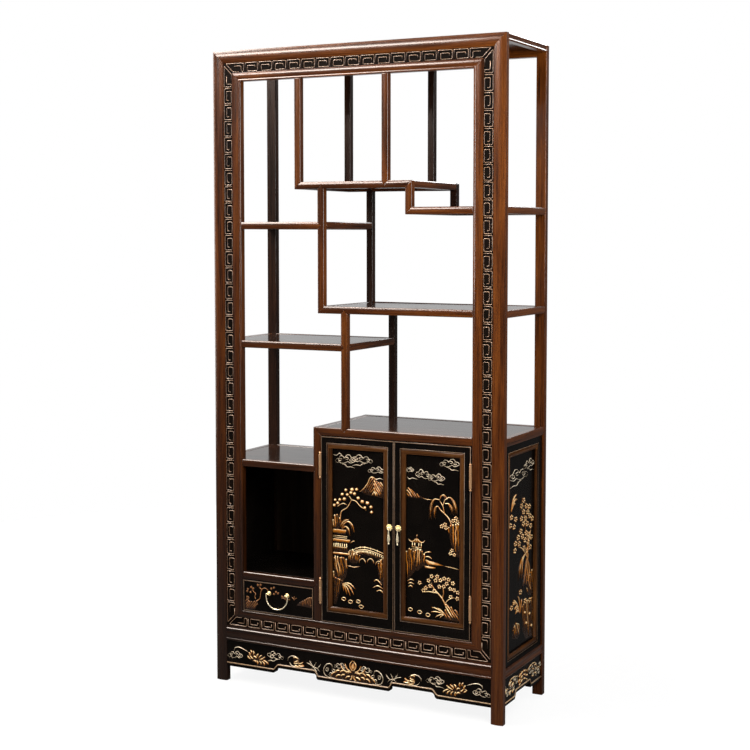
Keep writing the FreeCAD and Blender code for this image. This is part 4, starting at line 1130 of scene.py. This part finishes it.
# The drawer's painted land, thinner than the rest
def drawer_ornament(dim):
    rock(dim, [(10, 700), (40, 620), (90, 720), (150, 680), (200, 620), (190, 800), (150, 970),
               (10, 970)], -128, 6, 4)
    dim.line(curl(dim.at(45, 600), 6, 0.4, -1.1), 2.6, 0.8)
    tree(dim, [[(180, 660), (230, 560), (240, 400), (260, 240), (300, 170), (340, 200), (370, 320)],
               [(170, 600), (155, 500), (170, 420), (140, 340), (110, 280)],
               [(260, 240), (220, 140)]], 3.2)
    tufts(dim, [(100, 200), (50, 280), (40, 360), (90, 380), (130, 240), (200, 100), (240, 80),
                (400, 160), (440, 120), (380, 300), (470, 260), (440, 340), (500, 300), (560, 400)], 4.2, 0.8)
    blades(dim, (620, 500), [(580, 380), (620, 340), (660, 400), (550, 460), (680, 480)], 2.4, 0.7)
    blades(dim, (740, 460), [(700, 380), (740, 320), (780, 380)], 2.2, 0.7)
    rock(dim, [(770, 620), (830, 500), (880, 420), (920, 340), (950, 300), (990, 260), (990, 660),
               (900, 640)], -100, 5, 3.4)


def lumps(relief, outline, paths, width=5.6, rise=2.6):
    """A carved cluster: a low mass under short fat strokes."""
    relief.dome(outline, low_rise, low_rings)
    for path in paths:
        relief.line(smooth_path(path, 3), width, rise, (0.6, 0.35))


def lines(relief, paths, width=3.2, rise=1.7, ends=(0.5, 0.3)):
    for path in paths:
        relief.line(smooth_path(path, 4), width, rise, ends)


def on_side(path, side):
    return [(side * h, v) for h, v in path]


# Half of the front apron, in millimetres from its end and from above its lowest edge: a cloud, a bat with a
# long tail, a cloud, a second bat, a leaf and a scroll
def apron_half(gold, pale):
    cloud(pale, (30, 27), 56, 34, tail=False)
    lines(pale, [[(27, 43), (29, 51), (40, 56), (56, 54), (78, 46)]], 3.6, 1.8, (0.6, 0.5))
    lumps(gold, [(76, 26), (80, 42), (92, 52), (104, 45), (112, 38), (124, 42), (141, 36), (138, 28),
                 (154, 22), (146, 10), (118, 7), (102, 14), (86, 20)],
          [[(88, 53), (92, 47), (91, 40)], [(98, 51), (101, 45), (98, 38)], [(82, 45), (86, 38), (84, 32)],
           [(78, 33), (81, 27), (88, 24)], [(88, 34), (92, 28), (98, 26)], [(99, 34), (106, 33), (110, 27)],
           [(113, 32), (113, 39), (118, 44)], [(119, 30), (124, 37), (131, 42)],
           [(122, 27), (132, 30), (142, 38)], [(98, 20), (106, 20), (110, 14)],
           [(112, 22), (115, 15), (113, 8)], [(121, 22), (127, 16), (126, 9)],
           [(130, 23), (138, 17), (140, 9)], [(136, 26), (147, 22), (155, 14)]])
    cloud(pale, (180, 44), 60, 34, -1)
    lines(pale, [curl((168, 44), 9, 0.3, 1.2), [(225, 36), (228, 47), (240, 54), (256, 53), (268, 44)],
                 [(232, 32), (238, 25), (250, 21), (272, 21)]])
    lumps(gold, [(246, 30), (246, 48), (256, 52), (264, 44), (268, 34), (284, 30), (280, 23), (256, 21)],
          [[(246, 49), (256, 51), (263, 45)], [(263, 42), (256, 38), (248, 37)],
           [(247, 32), (256, 32), (264, 35)], [(264, 32), (273, 34), (281, 40)],
           [(264, 27), (274, 26), (285, 28)], [(250, 26), (259, 23), (270, 22)]])
    lines(pale, [[(293, 40), (304, 37), (316, 31), (330, 27), (340, 18)],
                 [(328, 46), (323, 37), (318, 29), (308, 23)], [(316, 31), (308, 41), (304, 48)],
                 [(330, 27), (338, 34), (344, 42)], [(316, 31), (326, 20), (330, 12)]])
    lines(pale, [[(384, 37), (383, 45), (373, 48), (361, 41), (354, 26), (358, 12), (371, 6), (392, 5)]],
          4.0, 1.9)
    lines(pale, [curl((367, 28), 7, 0.1, 1.3), curl((379, 16), 7, 0.6, 1.3), curl((389, 29), 6, 0.3, 1.3)],
          2.6, 1.5)
    cloud(pale, (412, 44), 42, 26, tail=False)


# The middle of the front apron: a mirrored cluster of leaves round a bud
def apron_middle(gold):
    petals = [[(2, 36), (10, 48), (8, 60), (0, 68)], [(8, 32), (22, 42), (28, 56)],
              [(14, 28), (34, 36), (44, 52)]]
    outline = [(0, 6), (40, 6), (74, 5), (78, 18), (60, 34), (24, 38), (0, 36)]
    paths = [[(6, 30), (18, 32), (26, 24)], [(10, 18), (20, 16), (26, 8)], [(26, 34), (38, 32), (46, 24)],
             [(28, 20), (36, 20), (42, 12)], [(46, 32), (56, 30), (62, 21)], [(44, 18), (54, 16), (60, 7)],
             [(62, 24), (70, 20), (76, 10)], [(4, 22), (4, 12), (12, 6)]]
    for side in (-1, 1):
        lines(gold, [on_side(petal, side) for petal in petals], 5.4, 2.4, (0.9, 0.25))
        lumps(gold, on_side(outline, side), [on_side(path, side) for path in paths])
    gold.dome([(-6, 38), (6, 38), (8, 50), (0, 62), (-8, 50)], 2.4)


# Half of a side apron, in millimetres from its middle: a cluster of flowers, then scrolls
def side_apron_half(gold, pale):
    lumps(gold, [(0, 26), (30, 24), (38, 38), (24, 56), (0, 60)],
          [[(2, 58), (12, 58), (20, 50)], [(4, 46), (14, 46), (18, 38)], [(20, 58), (28, 52), (30, 44)],
           [(22, 40), (32, 40), (38, 32)], [(4, 34), (14, 34), (20, 27)], [(24, 30), (30, 26), (34, 24)]], 6.5)
    for h, v, size in ((56, 46, 13), (80, 34, 11), (104, 46, 12), (128, 26, 10), (142, 44, 8),
                       (74, 58, 8), (108, 24, 8)):
        lines(pale, [curl((h, v), size, 0.1 * (h % 7), 1.5)], ends=(0.5, 0.8))
    lumps(gold, [(70, 20), (72, 50), (96, 54), (110, 40), (96, 18)],
          [[(72, 24), (82, 24), (88, 17)], [(76, 46), (86, 44), (92, 36)], [(92, 54), (104, 52), (110, 42)],
           [(94, 28), (104, 26), (112, 18)]], 5.5)
    lines(gold, [[(34, 52), (60, 60), (88, 62), (112, 56)], [(112, 34), (126, 40), (140, 32), (146, 18)]], 3.6)


drawer_margin, drawer_recess = 4.0, 1.5


def relief_pair(*face):
    return Relief(*face), Relief(*face)


def make_pair(name, pale_name, body, pair):
    """The gold and the pale gold of one face, each as a piece."""
    for relief, ending, material in zip(pair, ("gold", pale_name), (gold, pale_gold)):
        relief.make(name + "_" + ending, material, body)


def face_inside(name, axis, margin):
    """A node's box seen from in front or from the side, less a margin: its left, foot, width and height."""
    low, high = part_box(name)
    return (low[axis] / MM + margin, low.z / MM + margin,
            (high[axis] - low[axis]) / MM - 2 * margin, (high.z - low.z) / MM - 2 * margin)


def make_door_ornament(name, draw):
    left, foot, wide, tall = face_inside(name + "_door_bead", 0, panel_bead)
    pair = relief_pair((left, front_y + panel_recess, foot), RIGHT, -BACK, wide, tall)
    draw(*pair)
    make_pair(name + "_door", "clouds", name + "_door", pair)


def make_side_ornament(name, side):
    front, foot, deep, tall = face_inside(name + "_side_panel", 1, panel_bead)
    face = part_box(name + "_side_panel")[1 if side > 0 else 0].x / MM
    pair = relief_pair((face, front, foot), BACK, RIGHT * side, deep, tall)
    side_ornament(*pair)
    make_pair(name + "_side", "clouds", "cabinet", pair)


def make_drawer_ornament():
    left, foot, wide, tall = face_inside("drawer_front", 0, drawer_margin)
    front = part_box("drawer_front")[0].y / MM + drawer_recess
    dim = Relief((left, front, foot), RIGHT, -BACK, wide, tall)
    drawer_ornament(dim)
    dim.make("drawer_land", dim_gold, "drawer")


apron_pocket = 2.0
apron_low, apron_high = 49.0, 66.0
apron_edge = 8.0
centre_lobe, centre_slope = 121.0, 15.0
end_lobe, end_slope = 171.0, 21.0
side_lobe, side_slope = 84.5, 10.0
lip_height, lip_width, lip_rise = 10.0, 5.5, 2.6  # the bead on the lower edge


def lobed_edge(stations):
    """An apron's lower edge, which steps between its stations in soft curves."""
    path = []
    for (h0, v0), (h1, v1) in zip(stations, stations[1:]):
        steps = 1 if v0 == v1 else 8
        for step in range(steps):
            share = step / steps
            path.append((h0 + (h1 - h0) * share, v0 + (v1 - v0) * share * share * (3 - 2 * share)))
    return path + [stations[-1]]


def make_apron(name, foot, right, out, half, from_end, draw, centre=None):
    """An apron's ornament, drawn on both halves, and the light bead along its edge. foot is the middle of its
    lowest edge on the carved face, half is half its edge, and from_end is where the drawing starts."""
    foot = Vector(foot)
    start = foot + UP * apron_edge
    pair = relief_pair(start, right, out)
    for side in (1, -1):
        half_pair = relief_pair(start - right * side * from_end, right * side, out)
        draw(*half_pair)
        for relief, part in zip(pair, half_pair):
            relief.join(part)
    if centre:
        centre(pair[0])
    make_pair(name, "scrolls", "cabinet", pair)
    bead = Relief(foot, right, out)
    edge = [(h, v - apron_low + lip_height) for h, v in lobed_edge(half)]
    bead.line(on_side(edge[:0:-1], -1) + edge, lip_width, lip_rise)
    bead.make(name + "_bead", tan_line, "cabinet")


def make_aprons():
    low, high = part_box("front_apron")
    half = high.x / MM
    edge = [(0, apron_low), (centre_lobe, apron_low), (centre_lobe + centre_slope, apron_high),
            (half - end_lobe - end_slope, apron_high), (half - end_lobe, apron_low), (half, apron_low)]
    foot = (0, low.y / MM + apron_pocket, low.z / MM)
    make_apron("front_apron", foot, RIGHT, -BACK, edge, half, apron_half, apron_middle)
    low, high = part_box("side_aprons")
    half = (high.y - low.y) / 2 / MM
    edge = [(0, apron_high), (half - side_lobe - side_slope, apron_high), (half - side_lobe, apron_low),
            (half, apron_low)]
    for (name, side), face in zip(sides.items(), (low.x, high.x)):
        foot = (face / MM, (low.y + high.y) / 2 / MM, low.z / MM)
        make_apron(name + "_side_apron", foot, BACK * side, RIGHT * side, edge, 0, side_apron_half)


make_door_ornament("left", left_door_ornament)
make_door_ornament("right", right_door_ornament)
for name in ("right", "left"):
    make_side_ornament(name, sides[name])
make_drawer_ornament()
make_aprons()


# Camera
camera = bpy.data.objects.new("camera", bpy.data.cameras.new("camera"))
bpy.context.scene.collection.objects.link(camera)
camera.location = Vector(camera_place) * MM
camera.rotation_euler = (math.radians(90 - camera_fall), 0, math.radians(camera_azimuth))
camera.data.lens = camera_lens
camera.data.sensor_width = camera_sensor
camera.data.shift_y = camera_shift
bpy.context.scene.camera = camera


# Studio, in metres and watts
def area_light(name, place, target, size, power, shade=(1, 1, 1), gleam=False):
    """A rectangular lamp. A gleam shows in glossy surfaces only."""
    data = bpy.data.lights.new(name, "AREA")
    data.shape = "RECTANGLE"
    data.size, data.size_y = size
    data.energy = power
    data.color = shade
    made = bpy.data.objects.new(name, data)
    bpy.context.scene.collection.objects.link(made)
    made.location = place
    made.rotation_euler = (Vector(place) - Vector(target)).to_track_quat("Z", "Y").to_euler()
    made.visible_diffuse = not gleam


warm = (1.0, 0.92, 0.86)
gleam_shade = (1.0, 0.86, 0.76)
area_light("key", (1.5, -1.35, 1.75), (0, 0, 1.0), (0.9, 1.2), 54)
area_light("left_strip", (-3.0, -1.35, 1.4), (0, 0, 1.4), (0.24, 2.0), 20, warm)
area_light("high_front", (-1.7, -3.0, 2.8), (0, 0, 1.2), (1.5, 0.4), 30, warm)
area_light("top", (-1.9, -0.9, 3.7), (0, 0, 1.0), (2.2, 2.0), 110, warm)
area_light("top_gleam", (-1.9, -0.9, 3.72), (0, 0, 1.0), (2.2, 2.0), 420, gleam_shade, True)
area_light("front_gleam", (-1.7, -3.0, 2.82), (0, 0, 1.2), (1.5, 0.5), 60, gleam_shade, True)
area_light("left_edge", (-3.5, 1.8, 1.2), (0, 0, 1.1), (0.8, 2.6), 30)
area_light("back_edge", (0.5, 3.6, 3.2), (0, 0, 1.4), (2.4, 0.8), 70)


def seen_rays(tree):
    rays = node(tree, "LightPath").outputs
    glossy = math_node(tree, "MAXIMUM", rays["Is Glossy Ray"], rays["Is Transmission Ray"])
    return rays["Is Camera Ray"], glossy


# White behind the object for the camera, and in its gloss a white wall at the far left and a dim room
white_wall = Vector((-0.72, 0.64, 0.27))
wall_start, wall_full = 0.35, 0.85  # cosines of the angle to the wall's middle
dim_room, bright_wall = 0.07, 0.62
ambient = 0.3


def make_world():
    world = bpy.data.worlds.new("studio")
    bpy.context.scene.world = world
    world.use_nodes = True
    tree = world.node_tree
    tree.nodes.clear()
    camera_ray, glossy_ray = seen_rays(tree)
    turned = node(tree, "VectorMath", {0: node(tree, "TexCoord").outputs["Generated"], 1: white_wall},
                  operation="DOT_PRODUCT").outputs["Value"]
    room = remap(tree, turned, wall_start, wall_full, dim_room, bright_wall)
    in_gloss = math_node(tree, "MULTIPLY", glossy_ray, math_node(tree, "SUBTRACT", room, ambient))
    strength = math_node(tree, "ADD", in_gloss, ambient)
    strength = math_node(tree, "MAXIMUM", strength, camera_ray)
    background = node(tree, "Background", {"Color": (1, 1, 1, 1), "Strength": strength})
    output = node(tree, "OutputWorld")
    tree.links.new(background.outputs[0], output.inputs["Surface"])


make_world()


floor_radius, floor_sides = 3.2, 96
floor_shades = ((84, 84, 84), (92, 92, 92))
glow_start, glow_full = 0.9, 2.6  # metres from the middle
glow_near = 0.88  # the glow's strength there


def make_floor():
    material, tree, shader = blank_material("floor", {"Specular IOR Level": 0.1})
    camera_ray, glossy_ray = seen_rays(tree)
    place = coordinate(tree)
    grain = noise(tree, place, 30, 4, 0.6)
    tree.links.new(mix_colour(tree, grain, *colours(*floor_shades)), shader.inputs["Base Color"])
    shader.inputs["Roughness"].default_value = 0.8
    shader.inputs["Emission Color"].default_value = (1, 1, 1, 1)
    reach = node(tree, "VectorMath", {0: place}, operation="LENGTH").outputs["Value"]
    glow = remap(tree, reach, glow_start, glow_full, glow_near, 1.0)
    tree.links.new(math_node(tree, "MULTIPLY", camera_ray, glow), shader.inputs["Emission Strength"])
    mesh = bpy.data.meshes.new("floor")
    angles = [math.tau * index / floor_sides for index in range(floor_sides)]
    ring = [(floor_radius * math.cos(angle), floor_radius * math.sin(angle), 0) for angle in angles]
    mesh.from_pydata(ring, [], [tuple(range(floor_sides))])
    floor = bpy.data.objects.new("floor", mesh)
    bpy.context.scene.collection.objects.link(floor)
    mesh.materials.append(material)


make_floor()

scene = bpy.context.scene
scene.view_settings.view_transform = "Standard"
